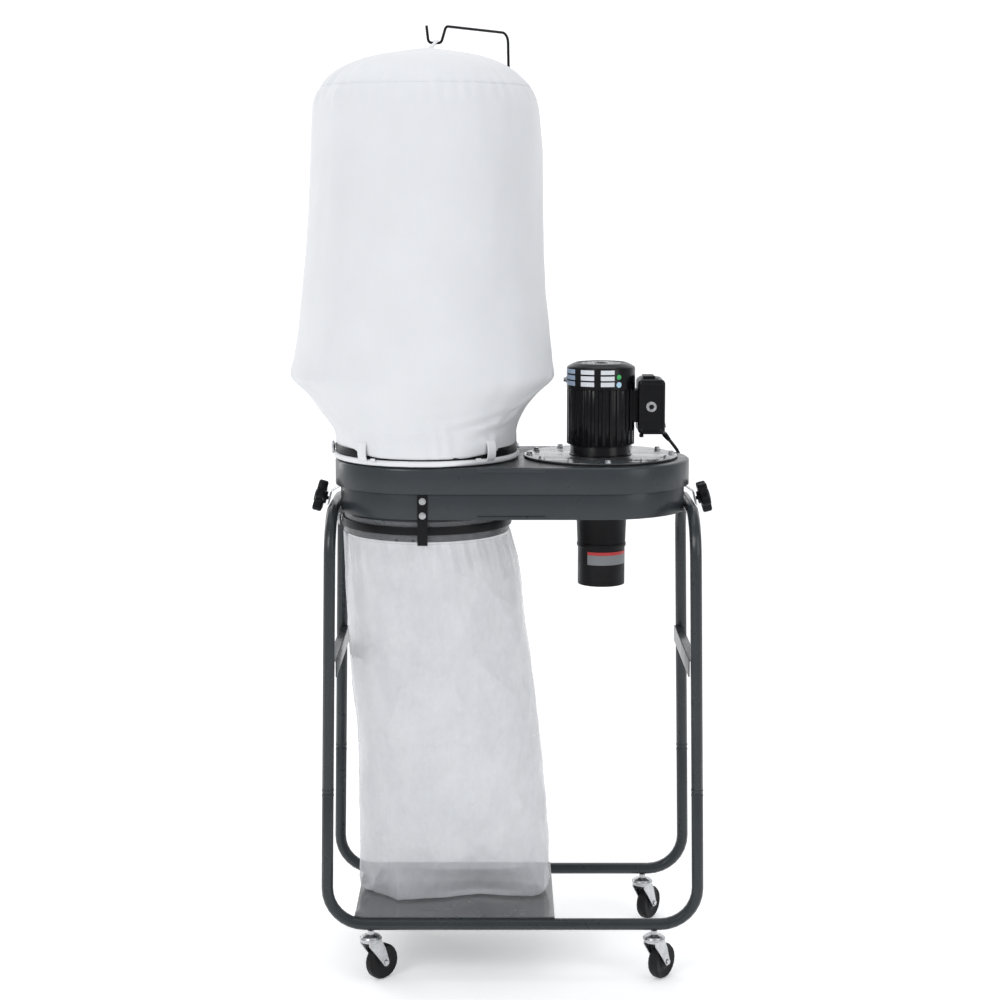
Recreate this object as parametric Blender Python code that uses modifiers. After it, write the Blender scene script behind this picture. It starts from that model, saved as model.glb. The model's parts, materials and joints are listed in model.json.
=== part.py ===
"""Twin-bag dust collector on a tubular wheeled stand.

Metres, +Z up, -Y is the front. The origin is on the floor, below the middle of the machine's overall box.
Every X below is measured from the middle of the stand, and CENTRE_X then moves the whole machine.
"""

import math

import bmesh
import bpy
from mathutils import Matrix, Vector

# ---- driving dimensions ----
GAP = 0.0003  # clearance between neighbouring pieces
CENTRE_X = 0.01755

TUBE_R = 0.0125
FLOOR_TUBE_Z = 0.1247  # centre of the bottom tubes
STAND_HALF_Y = 0.177
LEG_X = 0.387  # leg centre at LEG_Z
LEG_Z = 0.200
LEG_SPLAY = math.radians(1.0)
SEAM_Z = 0.409
STAND_TOP_Z = 0.990
LOWER_BEND_R = 0.078
UPPER_BEND_R = 0.088

BAG_X = -0.1815  # axis of both bags
FAN_X = 0.187  # axis of motor, impeller and inlet
HOUSING_HALF = 0.375  # half the housing's length
HOUSING_R = 0.190
SHEET = 0.002
PAN_STEP = 0.005  # how much smaller the lower pan is all round
PAN_BOTTOM_Z = 0.983
PAN_SPLIT_Z = 1.036
PAN_LAP = 0.005
PAN_TOP_Z = 1.090
SADDLE_X = 0.359  # flat on each end of the lower pan, beside the stand's top tube

MOTOR_PLATE_R = 0.1635
MOTOR_R = 0.0715
MOTOR_NECK_R = 0.064
MOTOR_NECK_TOP_Z = 1.119
MOTOR_BODY_TOP_Z = 1.237
MOTOR_COVER_SHOULDER_Z = 1.280
MOTOR_COVER_TOP_Z = 1.295
SHAFT_R = 0.009
IMPELLER_R = 0.150

PORT_X = 0.190
PORT_R = 0.050

CASTER_X = 0.297
WHEEL_R = 0.0375
WHEEL_W = 0.024
CASTER_TRAIL = 0.029
CASTER_TURN = {  # direction in which each wheel trails, degrees from +X
    ("front", "left"): 43,
    ("front", "right"): 52,
    ("rear", "left"): 50,
    ("rear", "right"): 56,
}

KNOB_X = 0.3905
KNOB_Z = 1.001
KNOB_TILT = math.radians(15)
KNOB_R = 0.035

FILTER_COLLAR_R = 0.185
FILTER_RING_Z = (1.0935, 1.150)
FILTER_BAND_Z = (1.104, 1.122)
DRUM_COLLAR_R = 0.1745
DRUM_RING_Z = (0.935, 0.9825)
DRUM_BAND_Z = (0.950, 0.967)

ROD_X = 0.008
ROD_Y = 0.172
ROD_TOP_Z = 1.985
ROD_R = 0.003
ROD_LEAN = 0.017  # how far the rod's top stands to the left of its foot

BAG_SIDES = 28
BAG_WALL = 0.0010
DENT_R = 0.240  # the filter bag's radius where it leans on the rod
DENT_WIDTH = math.radians(14)
FILTER_SECTIONS = [  # half width, half depth, height of the bag's outside, bottom to top
    (0.189, 0.189, 1.0945),
    (0.189, 0.189, 1.1350),
    (0.200, 0.198, 1.1600),
    (0.212, 0.207, 1.1780),
    (0.240, 0.216, 1.2110),
    (0.262, 0.224, 1.2300),
    (0.280, 0.230, 1.2520),
    (0.2735, 0.236, 1.2900),
    (0.263, 0.240, 1.3440),
    (0.253, 0.244, 1.4280),
    (0.248, 0.246, 1.5130),
    (0.245, 0.245, 1.6150),
    (0.244, 0.244, 1.7330),
    (0.241, 0.241, 1.8130),
    (0.233, 0.233, 1.8460),
    (0.211, 0.211, 1.8780),
    (0.156, 0.156, 1.9110),
    (0.080, 0.080, 1.9320),
    (0.020, 0.020, 1.9400),
]
COLLECTION_SECTIONS = [  # height, left edge, right edge, half depth
    (0.9750, -0.3590, -0.0040, 0.1775),
    (0.9350, -0.3590, -0.0040, 0.1775),
    (0.8900, -0.3590, 0.0060, 0.1760),
    (0.8200, -0.3550, 0.0200, 0.1700),
    (0.6660, -0.3500, 0.0380, 0.1600),
    (0.4610, -0.3330, 0.0640, 0.1400),
    (0.2600, -0.3300, 0.0780, 0.1080),
    (0.1700, -0.3310, 0.0840, 0.0820),
    (0.1420, -0.3240, 0.0760, 0.0680),
]

BOX_X = (0.263, 0.320)
BOX_Y = (-0.048, 0.044)
BOX_Z = (1.140, 1.262)

CORD_R = 0.0035
GLAND_AXIS = Vector((0.50, 0.60, -0.62)).normalized()
GLAND_DEPTH = 0.013  # how far the flat for the gland is cut into the box's rear bottom corner
GLAND_LENGTH = 0.027
COIL_CENTRE = (-0.1145, 0.2520)
COIL_MIDDLE_R = 0.0409
COIL_HALF_WIDTH = 0.0112
COIL_TOP_Z = 0.0150
PLUG_SIZE = (0.037, 0.031, 0.0178)
PLUG_END_X = -0.124  # the end of the plug where the cord goes in
PLUG_Y = 0.282
PIN_LENGTH = 0.017
CORD_ROUTE = [  # by hand, from the gland to the coil
    (0.3480, 0.0776, 1.1055),
    (0.3590, 0.0905, 1.0895),
    (0.3665, 0.1020, 1.0680),
    (0.3705, 0.1140, 1.0400),
    (0.3720, 0.1330, 1.0080),
    (0.3730, 0.1600, 0.9870),
    (0.3740, 0.1840, 0.9550),
    (0.3745, 0.1945, 0.9150),
    (0.3755, 0.1945, 0.8600),
    (0.3775, 0.1945, 0.7400),
    (0.3795, 0.1945, 0.6200),
    (0.3815, 0.1945, 0.5000),
    (0.3835, 0.1945, 0.3800),
    (0.3855, 0.1945, 0.2700),
    (0.3840, 0.1945, 0.1980),
    (0.3660, 0.1945, 0.1480),
    (0.3260, 0.1945, 0.1260),
    (0.2600, 0.1945, 0.1230),
    (0.1600, 0.1945, 0.1230),
    (0.0800, 0.1960, 0.1210),
    (0.0150, 0.2010, 0.1080),
    (-0.0220, 0.2100, 0.0760),
    (-0.0400, 0.2200, 0.0410),
    (-0.0510, 0.2330, 0.0140),
    (-0.0568, 0.2480, 0.0050),
    (-0.0578, 0.2555, 0.0045),
]

# ---- materials: colour, roughness, metallic ----
FINISHES = {
    "dark_paint": ((0.045, 0.052, 0.057), 0.38, 0.0),
    "housing_paint": ((0.055, 0.062, 0.067), 0.42, 0.0),
    "zinc": ((0.62, 0.64, 0.66), 0.32, 1.0),
    "black_plastic": ((0.012, 0.012, 0.013), 0.38, 0.0),
    "black_gloss": ((0.006, 0.006, 0.007), 0.22, 0.0),
    "rubber": ((0.015, 0.015, 0.016), 0.75, 0.0),
    "steel": ((0.40, 0.41, 0.42), 0.35, 1.0),
    "copper": ((0.45, 0.18, 0.08), 0.4, 1.0),
    "white_cloth": ((0.78, 0.79, 0.81), 0.9, 0.0),
    "clear_film": ((0.72, 0.74, 0.77), 0.35, 0.0),
}


def clear_scene():
    for obj in list(bpy.data.objects):
        bpy.data.objects.remove(obj)


def material(finish):
    found = bpy.data.materials.get(finish)
    if found:
        return found
    colour, roughness, metallic = FINISHES[finish]
    made = bpy.data.materials.new(finish)
    made.use_nodes = True
    shader = made.node_tree.nodes["Principled BSDF"]
    shader.inputs["Base Color"].default_value = (*colour, 1.0)
    shader.inputs["Roughness"].default_value = roughness
    shader.inputs["Metallic"].default_value = metallic
    return made


def collection(name, hidden=False):
    found = bpy.data.collections.get(name)
    if not found:
        found = bpy.data.collections.new(name)
        bpy.context.scene.collection.children.link(found)
        found.hide_render = hidden
    return found


def add(name, data, finish=None, location=(0, 0, 0)):
    """A new object in the machine's collection, or a cutter when it has no finish."""
    obj = bpy.data.objects.new(name, data)
    obj.location = location
    if finish:
        data.materials.append(material(finish))
        collection("dust_collector").objects.link(obj)
    else:
        obj.hide_render = True
        obj.display_type = "WIRE"
        collection("cutters", hidden=True).objects.link(obj)
    return obj


def smooth(mesh, degrees=35):
    mesh.shade_smooth()
    mesh.set_sharp_from_angle(angle=math.radians(degrees))


def cut(obj, cutter, operation="DIFFERENCE"):
    boolean = obj.modifiers.new(f"{operation.lower()}_{cutter.name}", "BOOLEAN")
    boolean.operation = operation
    boolean.object = cutter
    return obj


def cylinder(name, radius, low, high, finish=None, centre=(0, 0), sides=32):
    bm = bmesh.new()
    bmesh.ops.create_cone(
        bm,
        cap_ends=True,
        segments=sides,
        radius1=radius,
        radius2=radius,
        depth=high - low,
        matrix=Matrix.Translation((0, 0, (low + high) / 2)),
    )
    mesh = bpy.data.meshes.new(name)
    bm.to_mesh(mesh)
    bm.free()
    smooth(mesh)
    return add(name, mesh, finish, location=(*centre, 0))


def box(name, low, high, finish=None, bevel=0.0):
    size = [b - a for a, b in zip(low, high)]
    middle = [(a + b) / 2 for a, b in zip(low, high)]
    bm = bmesh.new()
    bmesh.ops.create_cube(bm, size=1.0, matrix=Matrix.Diagonal((*size, 1.0)))
    mesh = bpy.data.meshes.new(name)
    bm.to_mesh(mesh)
    bm.free()
    obj = add(name, mesh, finish, location=middle)
    if bevel:
        edge = obj.modifiers.new("rounded_edges", "BEVEL")
        edge.width = bevel
        edge.segments = 2
    return obj


def turned(name, profile, finish=None, centre=(0, 0, 0), sides=32, ring=False):
    """A profile of (radius, height) points from the top of the axis down its outer side, or a closed ring."""
    mesh = bpy.data.meshes.new(name)
    edges = [(i, i + 1) for i in range(len(profile) - 1)]
    if ring:
        edges.append((len(profile) - 1, 0))
    mesh.from_pydata([(r, 0, z) for r, z in profile], edges, [])
    obj = add(name, mesh, finish, location=centre)
    screw = obj.modifiers.new("turn", "SCREW")
    screw.steps = screw.render_steps = sides
    screw.use_merge_vertices = True
    screw.merge_threshold = 0.00001
    screw.use_smooth_shade = True
    return obj


def outline(name, loops, thickness, finish=None, matrix=None):
    """A flat plate: the first loop is its edge and the others are holes, centred on the plane of the matrix."""
    curve = bpy.data.curves.new(name, "CURVE")
    curve.dimensions = "2D"
    curve.fill_mode = "BOTH"
    curve.extrude = thickness / 2
    for loop in loops:
        spline = curve.splines.new("POLY")
        spline.points.add(len(loop) - 1)
        for point, (x, y) in zip(spline.points, loop):
            point.co = (x, y, 0, 1)
        spline.use_cyclic_u = True
    guide = bpy.data.objects.new(name + "_outline", curve)
    bpy.context.scene.collection.objects.link(guide)
    mesh = mesh_of(guide, name)
    obj = add(name, mesh, finish)
    obj.matrix_world = matrix or Matrix.Identity(4)
    return obj


def mesh_of(guide, name):
    """The guide's evaluated mesh with its caps welded. The guide is removed."""
    bpy.context.view_layer.update()
    graph = bpy.context.evaluated_depsgraph_get()
    mesh = bpy.data.meshes.new_from_object(guide.evaluated_get(graph))
    bpy.data.objects.remove(guide)
    bm = bmesh.new()
    bm.from_mesh(mesh)
    bmesh.ops.remove_doubles(bm, verts=bm.verts, dist=0.00001)
    bmesh.ops.recalc_face_normals(bm, faces=bm.faces)
    bm.to_mesh(mesh)
    bm.free()
    mesh.name = name
    mesh.materials.clear()
    smooth(mesh)
    return mesh


def tube(name, points, radius, finish, sides=3):
    """A round bar along the points."""
    curve = bpy.data.curves.new(name, "CURVE")
    curve.dimensions = "3D"
    curve.bevel_depth = radius
    curve.bevel_resolution = sides
    curve.use_fill_caps = True
    spline = curve.splines.new("POLY")
    spline.points.add(len(points) - 1)
    for point, co in zip(spline.points, points):
        point.co = (*co, 1)
    spline.use_smooth = True
    return add(name, curve, finish)


def circle(radius, sides=32, centre=(0, 0), start=0.0):
    turn = 2 * math.pi / sides
    return [
        (centre[0] + radius * math.cos(start + i * turn), centre[1] + radius * math.sin(start + i * turn))
        for i in range(sides)
    ]


def filleted(corners, radius, steps=8):
    """The corner points joined by straight runs, with an arc of that radius at each inner corner."""
    corners = [Vector(c) for c in corners]
    path = [corners[0]]
    for before, corner, after in zip(corners, corners[1:], corners[2:]):
        a = (before - corner).normalized()
        b = (after - corner).normalized()
        half = a.angle(b) / 2
        reach = radius / math.tan(half)
        centre = corner + (a + b).normalized() * radius / math.sin(half)
        first = corner + a * reach - centre
        last = corner + b * reach - centre
        sweep = first.angle(last)
        for i in range(steps + 1):
            t = i / steps
            path.append(
                centre + (first * math.sin((1 - t) * sweep) + last * math.sin(t * sweep)) / math.sin(sweep)
            )
    return path + [corners[-1]]


def smooth_path(points, spacing):
    """A Catmull-Rom curve through the points, read off at about that spacing."""
    points = [Vector(p) for p in points]
    ends = [2 * points[0] - points[1], *points, 2 * points[-1] - points[-2]]
    dense = []
    for a, b, c, d in zip(ends, ends[1:], ends[2:], ends[3:]):
        for i in range(16):
            t = i / 16
            dense.append(
                0.5 * (2 * b + (c - a) * t + (2 * a - 5 * b + 4 * c - d) * t**2 + (3 * b - a - 3 * c + d) * t**3)
            )
    dense.append(points[-1])
    path, travelled = [dense[0]], 0.0
    for a, b in zip(dense, dense[1:]):
        travelled += (b - a).length
        if travelled >= spacing:
            path.append(b)
            travelled = 0.0
    if (path[-1] - dense[-1]).length < spacing / 2:
        path.pop()
    return path + [dense[-1]]


def leg_x(z):
    return LEG_X + (LEG_Z - z) * math.tan(LEG_SPLAY)


# ---- stand ----
def build_stand():
    for end, y in (("front", -STAND_HALF_Y), ("rear", STAND_HALF_Y)):
        corners = [
            (-leg_x(SEAM_Z), y, SEAM_Z - GAP),
            (-leg_x(FLOOR_TUBE_Z), y, FLOOR_TUBE_Z),
            (leg_x(FLOOR_TUBE_Z), y, FLOOR_TUBE_Z),
            (leg_x(SEAM_Z), y, SEAM_Z - GAP),
        ]
        tube(f"{end}_lower_frame", filleted(corners, LOWER_BEND_R), TUBE_R, "dark_paint")
    for side, sign in (("left", -1), ("right", 1)):
        top_x = sign * leg_x(STAND_TOP_Z)
        seam_x = sign * leg_x(SEAM_Z)
        corners = [
            (seam_x, -STAND_HALF_Y, SEAM_Z),
            (top_x, -STAND_HALF_Y, STAND_TOP_Z),
            (top_x, STAND_HALF_Y, STAND_TOP_Z),
            (seam_x, STAND_HALF_Y, SEAM_Z),
        ]
        tube(f"{side}_upper_frame", filleted(corners, UPPER_BEND_R), TUBE_R, "dark_paint")
        build_brace(side, sign)
    build_base_plate()


def build_base_plate():
    """A sheet on top of the two bottom tubes, relieved at its left corners where the tubes bend up."""
    left, right, relief_x, half, relief_y, thick = -0.331, 0.0885, -0.306, 0.1775, 0.162, 0.0015
    edge = [
        (left, -relief_y),
        (relief_x, -relief_y),
        (relief_x, -half),
        (right, -half),
        (right, half),
        (relief_x, half),
        (relief_x, relief_y),
        (left, relief_y),
    ]
    height = FLOOR_TUBE_Z + TUBE_R + GAP + thick / 2
    outline("base_plate", [edge], thick, "housing_paint", Matrix.Translation((0, 0, height)))


def build_brace(side, sign):
    """An angle bar on the inner side of the two legs, with its flange outboard between them."""
    low, high, thick = 0.654, 0.688, 0.0025
    face = leg_x(high) - TUBE_R - 0.0008
    profile = [
        (face - thick, low),
        (face, low),
        (face, high - thick),
        (face + 0.016, high - thick),
        (face + 0.016, high),
        (face - thick, high),
    ]
    frame = Matrix(((sign, 0, 0, 0), (0, 0, -1, 0), (0, 1, 0, 0), (0, 0, 0, 1)))
    brace = outline(f"{side}_brace", [profile], 2 * STAND_HALF_Y, "dark_paint", frame)
    for y in (-STAND_HALF_Y, STAND_HALF_Y):
        centre = (sign * leg_x(high), y)
        end = "front" if y < 0 else "rear"
        room = cylinder(f"{side}_brace_leg_{end}", TUBE_R + 0.0012, 0.62, 0.72, None, centre)
        cut(brace, room)


# ---- casters ----
def build_caster(end, side):
    x = CASTER_X if side == "right" else -CASTER_X
    y = STAND_HALF_Y if end == "rear" else -STAND_HALF_Y
    turn = math.radians(CASTER_TURN[end, side])
    name = f"{end}_{side}_caster"
    stem_top = FLOOR_TUBE_Z - TUBE_R - GAP
    stem = [
        (0, stem_top),
        (0.007, stem_top),
        (0.007, 0.104),
        (0.011, 0.103),
        (0.020, 0.100),
        (0.022, 0.097),
        (0.022, 0.0925),
        (0.0, 0.0925),
    ]
    turned(f"{name}_stem", stem, "zinc", (x, y, 0), sides=16)

    axle_z = WHEEL_R
    cheek_y = WHEEL_W / 2 + 0.0015
    cheek = [(-0.015, 0.091), (-0.016, 0.083)]
    cheek += [
        (CASTER_TRAIL + 0.008 * math.cos(a), axle_z + 0.008 * math.sin(a))
        for a in [math.radians(d) for d in range(200, 381, 30)]
    ]
    cheek += [(0.027, 0.070), (0.0165, 0.091)]
    hole = circle(0.0033, 12, (CASTER_TRAIL, axle_z))
    place = Matrix.Translation((x, y, 0)) @ Matrix.Rotation(turn, 4, "Z")
    upright = Matrix(((1, 0, 0, 0), (0, 0, -1, 0), (0, 1, 0, 0), (0, 0, 0, 1)))
    fork = cylinder(f"{name}_fork", 0.0215, 0.0885, 0.0922, "zinc", (x, y), sides=20)
    fork.rotation_euler = (0, 0, turn)
    for which, offset in (("near", -1), ("far", 1)):
        shift = Matrix.Translation((0, offset * (cheek_y + 0.00125), 0))
        plate = outline(f"{name}_{which}_cheek", [cheek, hole], 0.0025, None, place @ shift @ upright)
        cut(fork, plate, "UNION")

    tread = WHEEL_W / 2
    wheel = [
        (0.0036, tread),
        (0.010, tread),
        (0.012, tread - 0.003),
        (0.027, tread - 0.003),
        (0.034, tread - 0.0005),
        (WHEEL_R, tread - 0.006),
    ]
    wheel += [(r, -h) for r, h in reversed(wheel)]
    rolling = turned(f"{name}_wheel", wheel, "rubber", sides=20, ring=True)
    rolling.matrix_world = (
        place @ Matrix.Translation((CASTER_TRAIL, 0, axle_z)) @ Matrix.Rotation(math.radians(90), 4, "X")
    )
    reach = cheek_y + 0.0025 + GAP
    axle = [
        (0, reach + 0.003),
        (0.0055, reach + 0.003),
        (0.0055, reach),
        (0.003, reach),
        (0.003, -reach),
        (0.0055, -reach),
        (0.0055, -reach - 0.003),
        (0, -reach - 0.003),
    ]
    pin = turned(f"{name}_axle", axle, "zinc", sides=12)
    pin.matrix_world = rolling.matrix_world.copy()


# ---- housing ----
def obround(radius, half, flat=None, steps=16):
    """Two half circles joined by straight sides, cut straight at X = flat at each end."""
    loop = []
    for sign in (1, -1):
        for i in range(steps + 1):
            angle = math.pi * (i / steps - 0.5)
            x = sign * (half - radius + radius * math.cos(angle))
            y = sign * radius * math.sin(angle)
            loop.append((x, y))
    if not flat:
        return loop
    edge_y = math.sqrt(radius**2 - (flat - half + radius) ** 2)
    kept = []
    for sign in (1, -1):
        arc = [p for p in loop if p[0] * sign > 0 and abs(p[0]) < flat - 0.001]
        arc.sort(key=lambda p: sign * p[1])
        below = [p for p in arc if sign * p[1] < 0]
        above = [p for p in arc if sign * p[1] > 0]
        kept += below + [(sign * flat, -sign * edge_y), (sign * flat, sign * edge_y)] + above
    return kept


def block(name, loop, low, high, finish=None):
    return outline(name, [loop], high - low, finish, Matrix.Translation((0, 0, (low + high) / 2)))


def build_housing():
    inner = obround(HOUSING_R - SHEET, HOUSING_HALF - SHEET)
    upper = block("upper_housing", obround(HOUSING_R, HOUSING_HALF), PAN_SPLIT_Z, PAN_TOP_Z, "housing_paint")
    round_rim(upper.data, PAN_TOP_Z - (PAN_SPLIT_Z + PAN_TOP_Z) / 2, 0.006)
    cut(upper, block("upper_pan_inside", inner, PAN_SPLIT_Z - 0.01, PAN_TOP_Z - SHEET))
    cut(upper, cylinder("filter_hole", 0.176, 1.05, 1.12, None, (BAG_X, 0), 32))
    cut(upper, cylinder("motor_hole", 0.120, 1.05, 1.12, None, (FAN_X, 0), 24))
    cut(upper, cylinder("rod_hole", 0.0034, 1.05, 1.12, None, (ROD_X, ROD_Y), 12))

    radius, half = HOUSING_R - PAN_STEP, HOUSING_HALF - PAN_STEP
    lap_z = PAN_SPLIT_Z + PAN_LAP
    lower = block("lower_housing", obround(radius, half, SADDLE_X), PAN_BOTTOM_Z, lap_z, "housing_paint")
    hollow = obround(radius - SHEET, half - SHEET, SADDLE_X - SHEET)
    cut(lower, block("lower_pan_inside", hollow, PAN_BOTTOM_Z + SHEET, lap_z + 0.01))
    cut(lower, cylinder("drum_hole", 0.169, 0.95, 1.0, None, (BAG_X, 0), 32))
    cut(lower, cylinder("port_hole", 0.0545, 0.95, 1.0, None, (PORT_X, 0), 32))

    low, high = FILTER_RING_Z
    r = FILTER_COLLAR_R
    collar = [
        (r - SHEET, high),
        (r, high),
        (r, low),
        (0.1885, low),
        (0.1885, PAN_TOP_Z + GAP),
        (r - SHEET, PAN_TOP_Z + GAP),
    ]
    turned("filter_bag_collar", collar, "housing_paint", (BAG_X, 0, 0), sides=32, ring=True)
    low, high = DRUM_RING_Z
    r = DRUM_COLLAR_R
    seat = PAN_BOTTOM_Z - GAP
    collar = [
        (r - 0.004, seat),
        (r, seat),
        (r, low),
        (r - 0.004, low),
    ]
    turned("collection_bag_collar", collar, "housing_paint", (BAG_X, 0, 0), sides=36, ring=True)


def round_rim(mesh, height, width):
    """Rounds the edge all round a plate's face at that local height."""
    bm = bmesh.new()
    bm.from_mesh(mesh)
    rim = [
        e
        for e in bm.edges
        if all(abs(v.co.z - height) < 1e-5 for v in e.verts) and abs(e.calc_face_angle(0.0)) > 1.0
    ]
    bmesh.ops.bevel(bm, geom=rim, offset=width, segments=3, profile=0.5, affect="EDGES")
    bm.to_mesh(mesh)
    bm.free()
    smooth(mesh)


# ---- filter bag support rod ----


def build_rod():
    corners = [
        (ROD_X, ROD_Y, PAN_TOP_Z - 0.012),
        (ROD_X - ROD_LEAN, ROD_Y, ROD_TOP_Z),
        (BAG_X + 0.044, 0.0, ROD_TOP_Z),
        (BAG_X + 0.034, -0.002, 1.951),
        (BAG_X + 0.008, -0.006, 1.951),
        (BAG_X + 0.004, -0.008, 1.986),
    ]
    lower = filleted(corners[:3], 0.020, 6)[:-1]
    hook = filleted([lower[-1], *corners[2:]], 0.008, 5)
    tube("support_rod", lower[:-1] + hook, ROD_R, "black_plastic", sides=2)


# ---- bags ----


def lofted_shell(name, rings, finish, closed_at):
    """A thin shell through rings of points, listed top to bottom, with one end closed and the other open."""
    bm = bmesh.new()
    rows = [[bm.verts.new(point) for point in ring] for ring in rings]
    sides = len(rows[0])
    for upper, lower in zip(rows, rows[1:]):
        for i in range(sides):
            j = (i + 1) % sides
            bm.faces.new((upper[i], lower[i], lower[j], upper[j]))
    bm.faces.new(rows[0] if closed_at == "top" else rows[-1][::-1])
    mesh = bpy.data.meshes.new(name)
    bm.to_mesh(mesh)
    bm.free()
    smooth(mesh, 60)
    shell = add(name, mesh, finish)
    skin = shell.modifiers.new("skin", "SOLIDIFY")
    skin.thickness = BAG_WALL
    skin.offset = -1.0
    return shell


def build_bags():
    turns = [2 * math.pi * i / BAG_SIDES for i in range(BAG_SIDES)]
    rod_side = math.atan2(ROD_Y, ROD_X - BAG_X)
    rings = []
    for wide, deep, z in reversed(FILTER_SECTIONS):
        ring = []
        for a in turns:
            x, y = wide * math.cos(a), deep * math.sin(a)
            reach = math.hypot(x, y)
            dent = DENT_R / reach if reach > DENT_R and abs(a - rod_side) < DENT_WIDTH else 1.0
            ring.append((BAG_X + x * dent, y * dent, z))
        rings.append(ring)
    lofted_shell("filter_bag", rings, "white_cloth", "top")

    rings = []
    for z, left, right, depth in COLLECTION_SECTIONS:
        middle, half = (left + right) / 2, (right - left) / 2
        rings.append([(middle + half * math.cos(a), depth * math.sin(a), z) for a in turns])
    lofted_shell("collection_bag", rings, "clear_film", "bottom")


def build_clamp(name, radius, heights, thick=0.0018):
    """A band round a bag with its ends apart at the left, and the toggle lever that pulls them together."""
    low, high = heights
    opening = math.radians(3)
    steps = 40
    radius = radius / math.cos(math.pi / steps) + GAP
    angles = [-math.pi + opening + (2 * math.pi - 2 * opening) * i / steps for i in range(steps + 1)]
    loop = [(radius * math.cos(a), radius * math.sin(a)) for a in angles]
    outside = radius + thick
    loop += [(outside * math.cos(a), outside * math.sin(a)) for a in reversed(angles)]
    place = Matrix.Translation((BAG_X, 0, (low + high) / 2))
    outline(f"{name}_clamp_band", [loop], high - low, "black_plastic", place)

    hinge = (BAG_X - radius - thick - 0.0045, -0.020)
    arm = [(-0.003, 0.0), (0.0022, 0.0), (0.0030, 0.046), (-0.0040, 0.052), (-0.0055, 0.050), (-0.0005, 0.044)]
    lever = outline(
        f"{name}_clamp_lever",
        [arm],
        0.010,
        "zinc",
        Matrix.Translation((*hinge, (low + high) / 2)),
    )
    boss = cylinder(f"{name}_lever_boss", 0.0036, low + 0.001, high - 0.001, None, hinge, 12)
    cut(lever, boss, "UNION")


def build_retaining_strip():
    front = -(HOUSING_R - PAN_STEP) - GAP
    box("retaining_strip", (-0.1945, front - 0.002, 0.930), (-0.1735, front, 1.0345), "black_plastic")


# ---- motor and fan ----
def build_motor():
    base = PAN_TOP_Z + GAP
    centre = (FAN_X, 0, 0)
    bolt_holes = [circle(0.0035, 6, xy) for xy in circle(0.151, 12, start=math.radians(3))]
    gasket = [circle(MOTOR_PLATE_R, 36), circle(0.122, 24), *bolt_holes]
    outline("plate_gasket", gasket, 0.002, "rubber", Matrix.Translation((FAN_X, 0, base + 0.001)))
    plate_z = base + 0.002 + GAP
    plate = [circle(MOTOR_PLATE_R - 0.001, 36), circle(SHAFT_R + 0.003, 12), *bolt_holes]
    outline("motor_plate", plate, 0.003, "zinc", Matrix.Translation((FAN_X, 0, plate_z + 0.0015)))

    neck_low = plate_z + 0.003 + GAP
    neck = [
        (0.0200, MOTOR_NECK_TOP_Z),
        (MOTOR_NECK_R, MOTOR_NECK_TOP_Z),
        (MOTOR_NECK_R, neck_low + 0.003),
        (0.0665, neck_low + 0.002),
        (0.0665, neck_low),
        (SHAFT_R + 0.003, neck_low),
        (SHAFT_R + 0.003, neck_low + 0.006),
        (0.0200, neck_low + 0.006),
    ]
    turned("motor_end_shield", neck, "black_gloss", centre, 28, ring=True)

    ribs, land = 28, 0.0035
    loop = []
    for i in range(ribs):
        for share, radius in ((0.0, MOTOR_R), (0.42, MOTOR_R), (0.52, MOTOR_R - land), (0.90, MOTOR_R - land)):
            angle = 2 * math.pi * (i + share) / ribs
            loop.append((radius * math.cos(angle), radius * math.sin(angle)))
    low, high = MOTOR_NECK_TOP_Z + GAP, MOTOR_BODY_TOP_Z
    place = Matrix.Translation((FAN_X, 0, (low + high) / 2))
    outline("motor_body", [loop, circle(0.060, 28)], high - low, "black_gloss", place)

    shoulder, top = MOTOR_COVER_SHOULDER_Z, MOTOR_COVER_TOP_Z
    low = MOTOR_BODY_TOP_Z + GAP
    cover = [
        (0.009, top),
        (0.050, top),
        (0.056, top - 0.002),
        (0.066, shoulder + 0.005),
        (0.0700, shoulder),
        (0.0722, shoulder - 0.005),
        (0.0722, low),
        (0.0702, low),
        (0.0702, shoulder - 0.006),
        (0.0640, shoulder + 0.003),
        (0.0550, top - 0.004),
        (0.009, top - 0.0025),
    ]
    shell = turned("fan_cover", cover, "black_gloss", centre, 28, ring=True)
    for i in range(6):
        angle = 2 * math.pi * i / 6
        place = Matrix.Translation((FAN_X, 0, top)) @ Matrix.Rotation(angle, 4, "Z")
        slot = [(0.018, -0.0022), (0.046, -0.0050), (0.046, 0.0050), (0.018, 0.0022)]
        cut(shell, outline(f"cover_slot_{i}", [slot], 0.02, None, place))

    turned(
        "stator",
        [(0.0340, 1.215), (0.0595, 1.215), (0.0595, 1.135), (0.0340, 1.135)],
        "copper",
        centre,
        24,
        ring=True,
    )
    turned(
        "rotor_core",
        [(SHAFT_R + GAP, 1.213), (0.0333, 1.213), (0.0333, 1.137), (SHAFT_R + GAP, 1.137)],
        "steel",
        centre,
        24,
        ring=True,
    )
    turned(
        "rotor_shaft",
        [(0, 1.268), (SHAFT_R, 1.268), (SHAFT_R, 1.012), (0, 1.012)],
        "steel",
        centre,
        12,
    )
    for name, low in (("lower_bearing", neck_low + 0.0065), ("upper_bearing", 1.222)):
        race = [(SHAFT_R + GAP, low + 0.011), (0.0196, low + 0.011), (0.0196, low), (SHAFT_R + GAP, low)]
        turned(name, race, "steel", centre, 16, ring=True)
    build_bearing_plate()
    blades("cooling_fan", (1.2445, 1.2470), (1.247 - 0.0005, 1.266), 0.0215, 0.062, 6, "black_plastic")
    blades("impeller", (1.0640, 1.0670), (1.0120, 1.0645), 0.030, IMPELLER_R, 8, "steel")


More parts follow.
